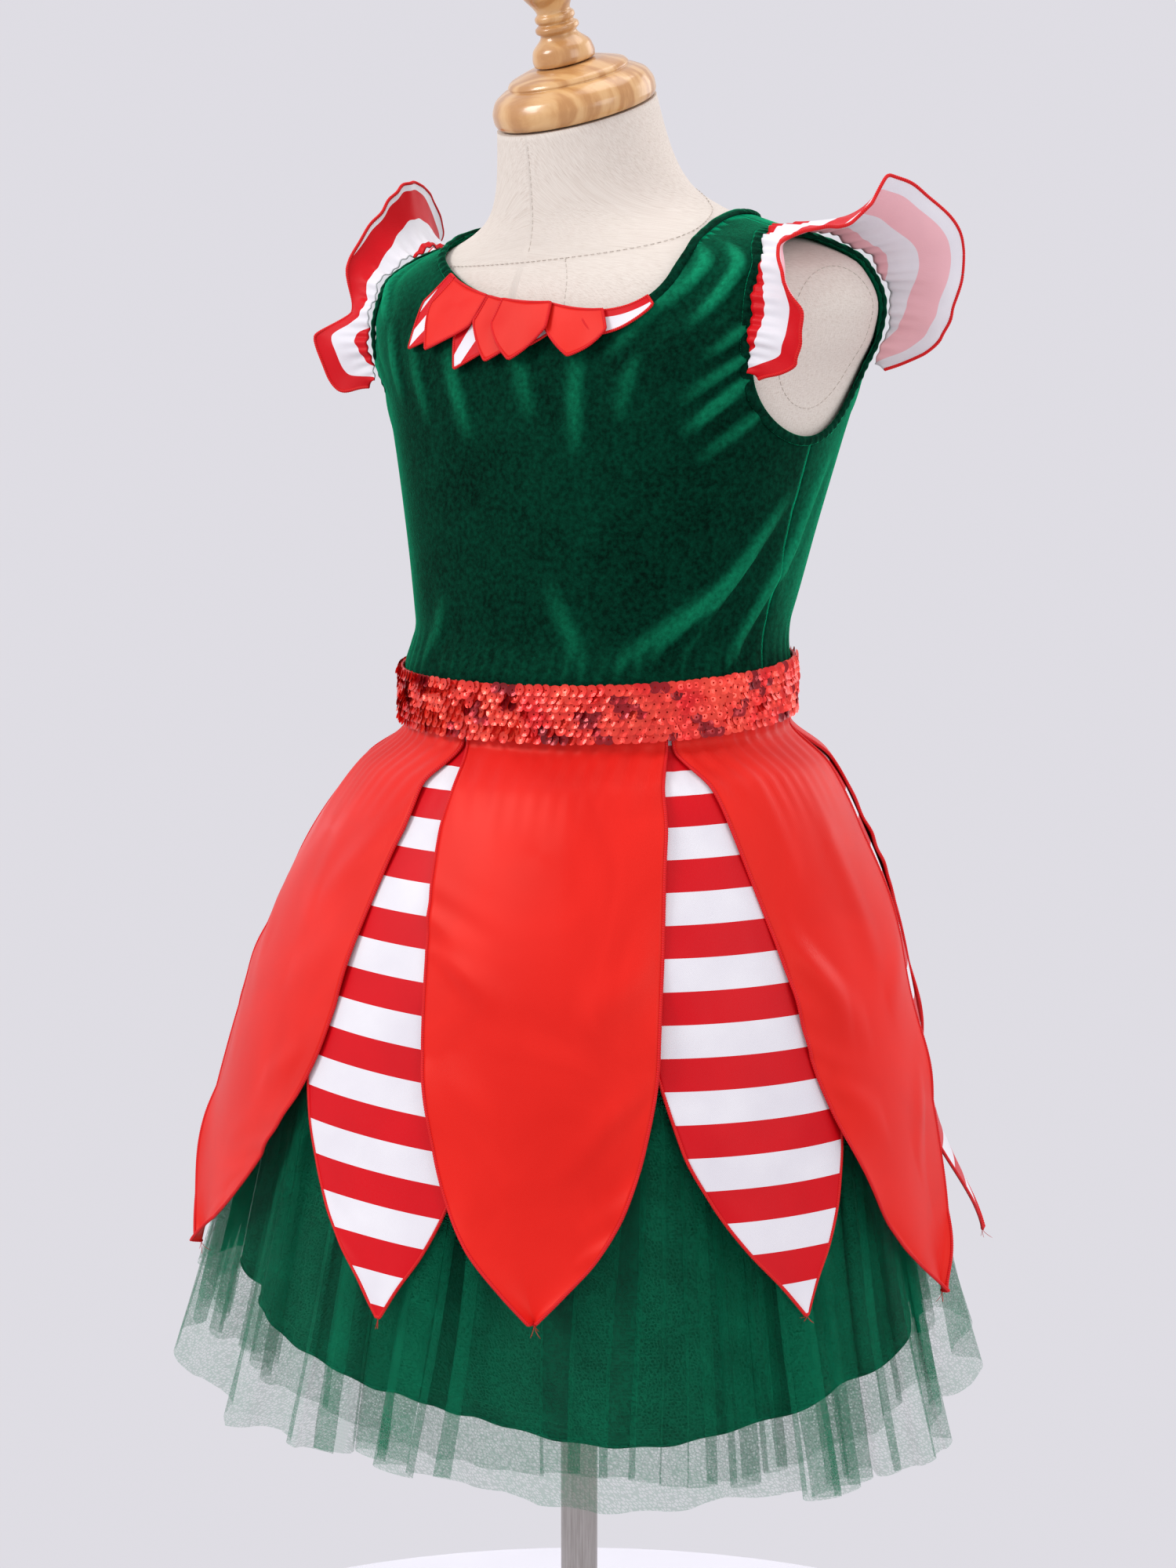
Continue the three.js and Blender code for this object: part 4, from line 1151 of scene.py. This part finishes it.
def sequins():
    """Staggered rows that overlap downwards, each disc tilted a little, in bright patches and dark patches of
    painted reflection.
    """
    rng = np.random.default_rng(7)
    shape, shape_faces = sequin_shape()
    vertices = {"bright": [], "dark": []}
    faces = {"bright": [], "dark": []}
    for row in range(SEQUIN_ROWS):
        down = BELT_HEIGHT * (row + 0.5) / SEQUIN_ROWS
        for n in range(SEQUINS_PER_ROW):
            bearing = 2 * math.pi * (n + 0.5 * (row % 2) + rng.uniform(-0.12, 0.12)) / SEQUINS_PER_ROW
            place = down + rng.uniform(-0.35, 0.35)
            at = belt_surface(np.array([bearing]), place, BELT_OFFSET + SEQUIN_LIFT)[0]
            side = belt_surface(np.array([bearing + 0.01]), place, BELT_OFFSET + SEQUIN_LIFT)[0] - at
            side /= np.linalg.norm(side)
            up = np.array([0, 0, 1.0])
            out = np.cross(side, up)
            out /= np.linalg.norm(out)
            tilt = math.radians(14 + rng.normal(0, 6))
            sway = math.radians(rng.normal(8, 9))
            axis_up = up * math.cos(tilt) + out * math.sin(tilt) * -1
            axis_out = np.cross(side, axis_up)
            axis_side = side * math.cos(sway) + axis_out * math.sin(sway)
            axis_out = np.cross(axis_side, axis_up)
            local = shape @ np.stack([axis_side, axis_up, axis_out])
            patch = math.sin(bearing * 9 + row * 0.7) + math.sin(bearing * 23 - row * 1.1)
            tone = "dark" if patch + rng.uniform(-0.9, 0.9) > DARK_PATCH else "bright"
            start = len(vertices[tone]) * len(shape)
            vertices[tone].append(at + local)
            faces[tone].extend(tuple(start + k for k in face) for face in shape_faces)
    for tone, material in (("bright", SEQUIN_BRIGHT), ("dark", SEQUIN_DARK)):
        places = world(np.concatenate(vertices[tone]))
        piece = new_object(f"sequins_{tone}", places, faces[tone], is_smooth=False)
        finish_piece(piece, material, "sequin")


belt_band()
sequins()


# Skirt layers

def fold_wave(bearing, count, shift):
    warped = bearing + 0.11 * np.sin(3 * bearing + shift) + 0.07 * np.sin(5 * bearing + 2 * shift)
    return np.cos(count * warped + shift)


def hem_wave(bearing, depth, shift):
    return depth * (0.6 * np.sin(3 * bearing + shift) + 0.4 * np.sin(7 * bearing + 2 * shift))


def layer_middle(layer, bearing, height):
    """Broad folds everywhere, and bunches of narrow pleats that double over each other."""
    shift, pleats, pleat_depth = layer["shift"], layer["pleats"], layer["pleat_depth"]
    inset = LAYERS[layer["name"]](height)
    depth = LAYERS[f"{layer['name']}_folds"](height)
    wander = 0.7 * np.sin(height / 55 + 9 * bearing + shift)
    phase = pleats * (bearing + 0.07 * np.sin(4 * bearing + shift)) + shift + wander
    bunch = smooth(np.sin(5 * bearing + 2 * shift) + 0.7 * np.sin(11 * bearing + shift), -0.2, 0.9)
    bunch = (0.12 + 0.88 * bunch) * smooth(-height, 35, 190)
    pleat = pleat_depth * bunch * (np.sin(phase) - 0.8)
    doubled = 0.95 * pleat_depth * bunch * np.sin(2 * phase) / SKIRT["half_width"](height)
    moved = depth * fold_wave(bearing, layer["folds"], shift) - inset + pleat
    return moved_out(skirt_point, bearing - doubled, height, moved)


def skirt_layer(layer):
    """One layer from the belt to its hem, which is lowest towards one side and cut unevenly."""
    bearing = np.linspace(0, 2 * np.pi, layer["columns"], endpoint=False)
    rise = HEM_RISE * (1 - np.cos(bearing - LOWEST_HEM)) / 2
    uneven = layer["jag"] * np.sin(13 * bearing + 4 * np.sin(3 * bearing))
    uneven = uneven + layer["jag"] * np.sin(37 * bearing + 5 * np.sin(2 * bearing))
    low = layer["hem"] + rise + hem_wave(bearing, layer["hem_depth"], layer["shift"]) + uneven
    share = np.linspace(0, 1, layer["levels"])[:, None]
    height = LAYER_TOP + (low[None, :] - LAYER_TOP) * share
    points = layer_middle(layer, np.broadcast_to(bearing, height.shape), height)
    name = f"{layer['name']}_cloth"
    return grid_object(name, points, is_round=True, cloth=cloth_lengths(points), goes_down=True), points


for net_layer, net_cloth in zip(SKIRT_LAYERS, (NET_OUTER, NET_INNER)):
    net, net_points = skirt_layer(net_layer)
    finish_piece(net, net_cloth, "net", net_layer["name"])

lining, lining_points = skirt_layer(SKIRT_LAYERS[-1])
solidify(lining, LINING_THICKNESS)
finish_piece(lining, LINING, "lining", "lining_skirt")


def lining_hem():
    """The rolled hem and the stitches above it."""
    above = lining_points[-3] * 0.35 + lining_points[-2] * 0.65
    outward = lining_points[-2] - np.array([0, 0, 1]) * lining_points[-2, :, 2:]
    outward[:, 2] = 0
    outward /= np.linalg.norm(outward, axis=1, keepdims=True)
    roll = tube_mesh([lining_points[-1]], 0.7, sides=6, is_closed=True, name="lining_hem_roll")
    path = above + outward * 0.35
    stitches = stitch_mesh("lining_hem_stitches", [path], pitch=3.0, length=2.0, radius=0.22)
    return finish_piece(roll, LINING, "lining"), finish_piece(stitches, GREEN_THREAD, "lining")


lining_hem()


# Overskirt petals

PETAL_STRIPE = 0.0305
EDGE_CURLS = table(
    "along depth",
    (0.0, 0.0),
    (0.2, 0.4),
    (0.5, 1.4),
    (0.8, 2.4),
    (1.0, 1.6),
)
CURL = reader(EDGE_CURLS, "along", "depth")

# Drapes: start and end across the petal (-1 to 1) and along it (0 to 1), depth in millimetres, relative width
PETAL_DRAPES = table(
    "start_u start_v end_u end_v depth width",
    (-0.95, 0.30, -0.35, 0.42, 1.6, 0.050),
    (-0.98, 0.38, -0.10, 0.52, 1.3, 0.040),
    (0.96, 0.44, 0.30, 0.56, 1.7, 0.045),
    (0.98, 0.54, 0.42, 0.62, 1.2, 0.035),
    (0.90, 0.18, 0.35, 0.30, 1.1, 0.045),
    (-0.60, 0.10, -0.45, 0.36, 1.2, 0.060),
    (0.15, 0.08, 0.30, 0.40, 1.3, 0.070),
    (0.75, 0.66, 0.15, 0.78, 1.1, 0.040),
    (-0.85, 0.64, -0.30, 0.74, 1.0, 0.040),
)


def drape_depth(petal, u, v):
    """Soft ridges of the hanging satin, shifted and scaled a little from one petal to the next."""
    seed = petal["centre"] * 0.61
    total = 0 * u
    for n, drape in enumerate(PETAL_DRAPES):
        turn = math.sin(seed + 2.1 * n)
        dx = (drape["end_u"] - drape["start_u"]) * 0.5
        dy = drape["end_v"] - drape["start_v"] + 0.03 * turn
        px = (u - drape["start_u"]) * 0.5
        py = v - drape["start_v"] - 0.05 * turn
        taper, across = along_line(px, py, dx, dy, 0.8)
        size = drape["depth"] * (0.75 + 0.5 * math.cos(seed * 1.7 + n))
        total = total + size * taper * np.exp(-(across / drape["width"]) ** 2)
    return total


def petal_surface(petal, kind, u, v):
    """A petal on the skirt's form, with curled edges, a soft belly, drapes, gathers and puckers."""
    is_red = kind == "red"
    height = PETAL_TOP + (petal["tip"] - PETAL_TOP) * v
    half_width = SKIRT["half_width"](height)
    per_radian = (half_width + (SKIRT["back"](height) - SKIRT["front"](height)) / 2) / 2
    fitted = per_radian * math.radians(petal["span"]) / 2 - SEAM_GAP
    top = np.minimum(fitted, float(OUTLINE[kind](0)))
    half = blend(top, petal["wide"] * OUTLINE[kind](v), smooth(v, 0.05, 0.2))
    waviness = petal["wave"] * np.sin(v * 15 + petal["centre"]) * smooth(v, 0.3, 0.6) * (1 - v)
    sideways = u * half + waviness + petal["tip_skew"] * smooth(v, 0.45, 1)
    bearing = np.radians(petal["centre"] + petal["swing"] * v) + sideways / per_radian
    lift = 3 * smooth(v, 0.3, 1) * u * u if is_red else petal["flare"] * smooth(v, 0.72, 1) + 0 * u
    seed = petal["centre"] * 0.37
    curl = CURL(v) * np.abs(u) ** 5 * np.sin(v * 21 + seed + 1.2 * np.sign(u))
    belly = 1.6 * np.sin(v * 6 + seed) * np.sin(u * 2.4 + seed * 2) * smooth(v, 0.1, 0.5)
    gathers = 0.9 * np.sin(u * half / 1.45 + seed + 1.5 * np.sin(u * 4)) * (1 - smooth(v, 0.03, 0.22))
    drawn_up = smooth(np.sin(v * 8 + seed * 3 + 1.7 * np.sign(u)), 0.1, 0.9)
    ripple = np.sin(v * 74 + 9 * np.abs(u) + 3 * np.sin(v * 11 + seed))
    pucker = 0.55 * np.abs(u) ** 2.5 * ripple * drawn_up * smooth(v, 0.12, 0.3)
    relief = curl + belly + drape_depth(petal, u, v) + gathers * 0.6 + pucker
    share = 1.0 if is_red else 0.3
    inset = 0 if is_red else STRIPED_INSET
    return moved_out(skirt_point, bearing, height, lift + np.maximum(share * relief, -0.7) - inset + 0.2)


def petal(row, kind):
    """A petal with its serged edge and the thread ends at its tip."""
    name = f"petal_{kind}_{row['name']}"
    rows, columns = 150, 49
    v, u = np.meshgrid(np.linspace(0, 1, rows), np.linspace(-1, 1, columns), indexing="ij")
    v = 1 - (1 - v) ** 1.15
    points = petal_surface(row, kind, u, v)
    cloth = cloth_lengths(points)
    cloth[..., 1] = cloth[:, columns // 2, 1][:, None]
    piece = grid_object(f"{name}_cloth", points, cloth=cloth, goes_down=True)
    solidify(piece, SATIN_THICKNESS, inner_slot=1)
    if kind == "red":
        finish_piece(piece, RED_SATIN, "satin", name, inner=RED_SATIN)
    else:
        finish_piece(piece, PETAL_PRINT, "stripe", name, inner=PETAL_REVERSE)
    rim = np.concatenate([points[:, 0], points[-1, 1:-1], points[::-1, -1]])
    serge = serged_edge(name, rim, 0.85, 0.6, 6, 0.1)
    ends = thread_ends(points[-1, columns // 2], row["centre"])
    threads = finish_piece(tube_mesh(ends, 0.13, sides=4, name=f"{name}_thread_ends"), SERGE, "satin")


def thread_ends(tip, seed):
    """Three loose ends of the serging below a tip."""
    rng = np.random.default_rng(int(abs(seed) * 10) + 50)
    ends = []
    for _ in range(3):
        along = np.linspace(0, 1, 7)[:, None]
        drop = rng.uniform(3, 7)
        side = rng.normal(0, 2.2, 3)
        curve = np.array([side[0], side[1], 0]) * along**2
        ends.append(tip + curve + np.array([0, 0, -drop]) * along)
    return ends


PETAL_PRINT = stripe_material("petal_print", STRIPE_RED, PETAL_STRIPE)
PETAL_REVERSE = stripe_material("petal_reverse", PALE_RED, PETAL_STRIPE, 0.6)

for petal_row in STRIPED_PETALS:
    petal(petal_row, "striped")
for petal_row in RED_PETALS:
    petal(petal_row, "red")


# Dress form

NECK_SEAM = 209
NECK_SEAM_DIP = 15
NECK_SEAM_TILT = 4
GROOVE_DEPTH = 0.6
GROOVE_WIDTH = 1.5
SHOULDER_SEAM_INSET = 12.0
FORM_BOTTOM = FORM_LEVELS[0]["height"]
FORM_TOP = FORM_LEVELS[-1]["height"]

FORM_SEAMS = table(
    "bearing lowest highest",
    (0.2, 160, 196),
    (0.0, 200, 258),
    (math.pi, 150, 258),
)


def neck_seam_height(bearing):
    """The seam where the neck joins the body: low in front and high at the nape."""
    return NECK_SEAM - NECK_SEAM_DIP * np.cos(bearing) + NECK_SEAM_TILT * np.sin(bearing)


def torso():
    """The linen form, with grooves and stitches at its seams and closed ends."""
    around = 200
    rounded = np.linspace(FORM_BOTTOM, FORM_BOTTOM + 22, 10)
    heights = np.concatenate([rounded, np.linspace(FORM_BOTTOM + 26, FORM_TOP, 150)])
    bearing, height = np.meshgrid(np.linspace(0, 2 * np.pi, around, endpoint=False), heights)
    groove = -GROOVE_DEPTH * np.exp(-(((height - neck_seam_height(bearing)) / GROOVE_WIDTH) ** 2))
    points = moved_out(form_point, bearing, height, groove)
    piece = grid_object("torso_linen", points, is_round=True, cloth=cloth_lengths(points))

    def close_ends(mesh):
        mesh.faces.new(list(reversed(mesh.verts[:around])))
        mesh.faces.new(mesh.verts[-around:])

    change_mesh(piece, close_ends)
    finish_piece(piece, LINEN, "linen", "form_torso")
    ring = moved_out(form_point, bearing[0], neck_seam_height(bearing[0]), 0.0)
    seams = [np.concatenate([ring, ring[:1]])]
    for seam in FORM_SEAMS:
        span = np.linspace(seam["lowest"], seam["highest"], 60)
        seams.append(moved_out(form_point, np.full(60, seam["bearing"]), span, 0.05))
    stitches = stitch_mesh("torso_seam_stitches", seams, pitch=3.2, length=2.1, radius=0.2)
    finish_piece(stitches, LINEN_THREAD, "linen")
    angle = np.linspace(0, 2 * np.pi, 100)
    shoulders = [arm_point(side, angle, -SHOULDER_SEAM_INSET, 0.15) for side in (1, -1)]
    stitches = stitch_mesh("shoulder_seam_stitches", shoulders, pitch=3.4, length=2.2, radius=0.18)
    finish_piece(stitches, LINEN_THREAD, "linen")


torso()


def fine_profile(rows, steps=5):
    """The turned profile with its corners softened a little."""
    points = np.array([(row["radius"], row["height"]) for row in rows], float)
    fine = [points[0]]
    for a, b in zip(points[:-1], points[1:]):
        for k in range(1, steps + 1):
            fine.append(a + (b - a) * k / steps)
    fine = np.array(fine)
    for _ in range(2):
        inner = (fine[:-2] + 2 * fine[1:-1] + fine[2:]) / 4
        fine[1:-1] = inner
    return fine


def turned_piece(name, rows, segments, node, material, slot, place, axes, steps=5):
    """A profile turned round an axis."""
    profile = fine_profile(rows, steps)
    inner = profile[1:-1]
    angle = np.linspace(0, 2 * np.pi, segments, endpoint=False)
    x_axis, y_axis, z_axis = axes
    ring = np.cos(angle)[:, None] * x_axis + np.sin(angle)[:, None] * y_axis
    vertices = [place + r * ring + h * z_axis for r, h in inner]
    ends = [[place + profile[n][1] * z_axis] for n in (0, -1)]
    vertices = np.concatenate(vertices + ends)
    faces = grid_faces(len(inner), segments, True)
    bottom, top = len(vertices) - 2, len(vertices) - 1
    for k in range(segments):
        j = (k + 1) % segments
        faces.append((bottom, j, k))
        last = (len(inner) - 1) * segments
        faces.append((top, last + k, last + j))
    finish_piece(new_object(name, vertices * MM, faces), material, slot, node)


NECK_TOP = FORM_LEVELS[-1]
NECK_SWAY = float(ASLANT["sway"](NECK_TOP["height"]))
NECK_SLOPE = float(ASLANT["slope"](NECK_TOP["height"]))
CAP_PLACE = np.array([NECK_SWAY, NECK_TOP["middle"], WAIST_HEIGHT + NECK_TOP["height"] + SEAM_GAP])


def cap_axes():
    """The axes of the wooden cap: leant forward, then sideways, as the neck's top is."""
    roll = -math.atan(NECK_SLOPE * math.cos(math.radians(CAP_LEAN)))
    pitch = math.radians(CAP_LEAN)
    up, over = math.cos(pitch), math.sin(pitch)
    level, aside = math.cos(roll), math.sin(roll)
    turn_x = np.array([[1, 0, 0], [0, up, -over], [0, over, up]])
    turn_y = np.array([[level, 0, aside], [0, 1, 0], [-aside, 0, level]])
    return tuple((turn_x @ turn_y).T)


UPRIGHT = (np.array([1.0, 0, 0]), np.array([0, 1.0, 0]), np.array([0, 0, 1.0]))
turned_piece("neck_cap_wood", CAP_PROFILE, 96, "neck_cap", WOOD, "wood", CAP_PLACE, cap_axes())
turned_piece("finial_wood", FINIAL_PROFILE, 96, "finial", WOOD, "wood", CAP_PLACE, cap_axes())

POLE_TOP = WAIST_HEIGHT + FORM_BOTTOM - SEAM_GAP
POLE_PROFILE = table("height radius", (10.35, 0), (10.35, 9.5), (POLE_TOP, 9.5), (POLE_TOP, 0))
BASE_PROFILE = table("height radius", (0, 0), (0, 130), (7, 130), (10, 126), (10, 0))
turned_piece("pole_steel", POLE_PROFILE, 64, "pole", STEEL, "steel", np.zeros(3), UPRIGHT, 12)
turned_piece("base_steel", BASE_PROFILE, 128, "base_plate", STEEL, "steel", np.zeros(3), UPRIGHT, 6)


# Studio: a pale floor, a pale surround and soft lights

FLOOR_RADIUS = 0.44
LIGHTS = table(
    "name x y z size power",
    ("key_light", -1.5, -2.2, 2.4, 1.1, 48),
    ("fill_light", 2.6, -0.6, 1.5, 1.4, 16),
    ("top_light", 0.2, 0.4, 2.8, 1.5, 14),
    ("back_light", 0.9, 2.3, 1.7, 1.6, 16),
)


def studio():
    look = Look("pale_floor", 0.75)
    speck = look.noise(look.object_place(), 12, 2)
    look.colour(look.ramp(speck, (0.3, (0.74, 0.73, 0.78)), (0.7, (0.78, 0.77, 0.82))))
    angle = np.linspace(0, 2 * np.pi, 96, endpoint=False)
    rim = FLOOR_RADIUS * np.stack([np.cos(angle), np.sin(angle), 0 * angle], axis=-1)
    rim[:, 2] = -0.0002
    floor = new_object("floor", rim, [tuple(range(96))], is_smooth=False)
    floor.data.materials.append(look.material)

    surround = bpy.data.worlds.new("surround")
    surround.use_nodes = True
    background = surround.node_tree.nodes["Background"]
    background.inputs["Color"].default_value = (0.8, 0.785, 0.84, 1)
    background.inputs["Strength"].default_value = 0.92
    bpy.context.scene.world = surround

    for light in LIGHTS:
        area_light(light["name"], (light["x"], light["y"], light["z"]), light["size"], light["power"])


def area_light(name, place, size, power):
    data = bpy.data.lights.new(name, "AREA")
    data.energy = power
    data.size = size
    light = bpy.data.objects.new(name, data)
    light.location = place
    aim = Vector((0, 0, 0.7)) - Vector(place)
    light.rotation_mode = "QUATERNION"
    light.rotation_quaternion = aim.to_track_quat("-Z", "Y")
    bpy.context.scene.collection.objects.link(light)


def camera():
    azimuth, pitch = math.radians(38), math.radians(12)
    distance, aside, eye_height = 1.444, 0.0046, 0.934
    back = Vector((math.sin(azimuth), -math.cos(azimuth), 0))
    right = Vector((math.cos(azimuth), math.sin(azimuth), 0))
    data = bpy.data.cameras.new("camera")
    data.lens = 68.4
    data.sensor_width = 36
    data.clip_start = 0.05
    data.clip_end = 50
    eye = bpy.data.objects.new("camera", data)
    eye.location = back * distance + right * aside + Vector((0, 0, eye_height))
    eye.rotation_euler = (math.pi / 2 - pitch, 0, azimuth)
    bpy.context.scene.collection.objects.link(eye)
    bpy.context.scene.camera = eye


studio()
camera()
bpy.context.scene.view_settings.view_transform = "Standard"
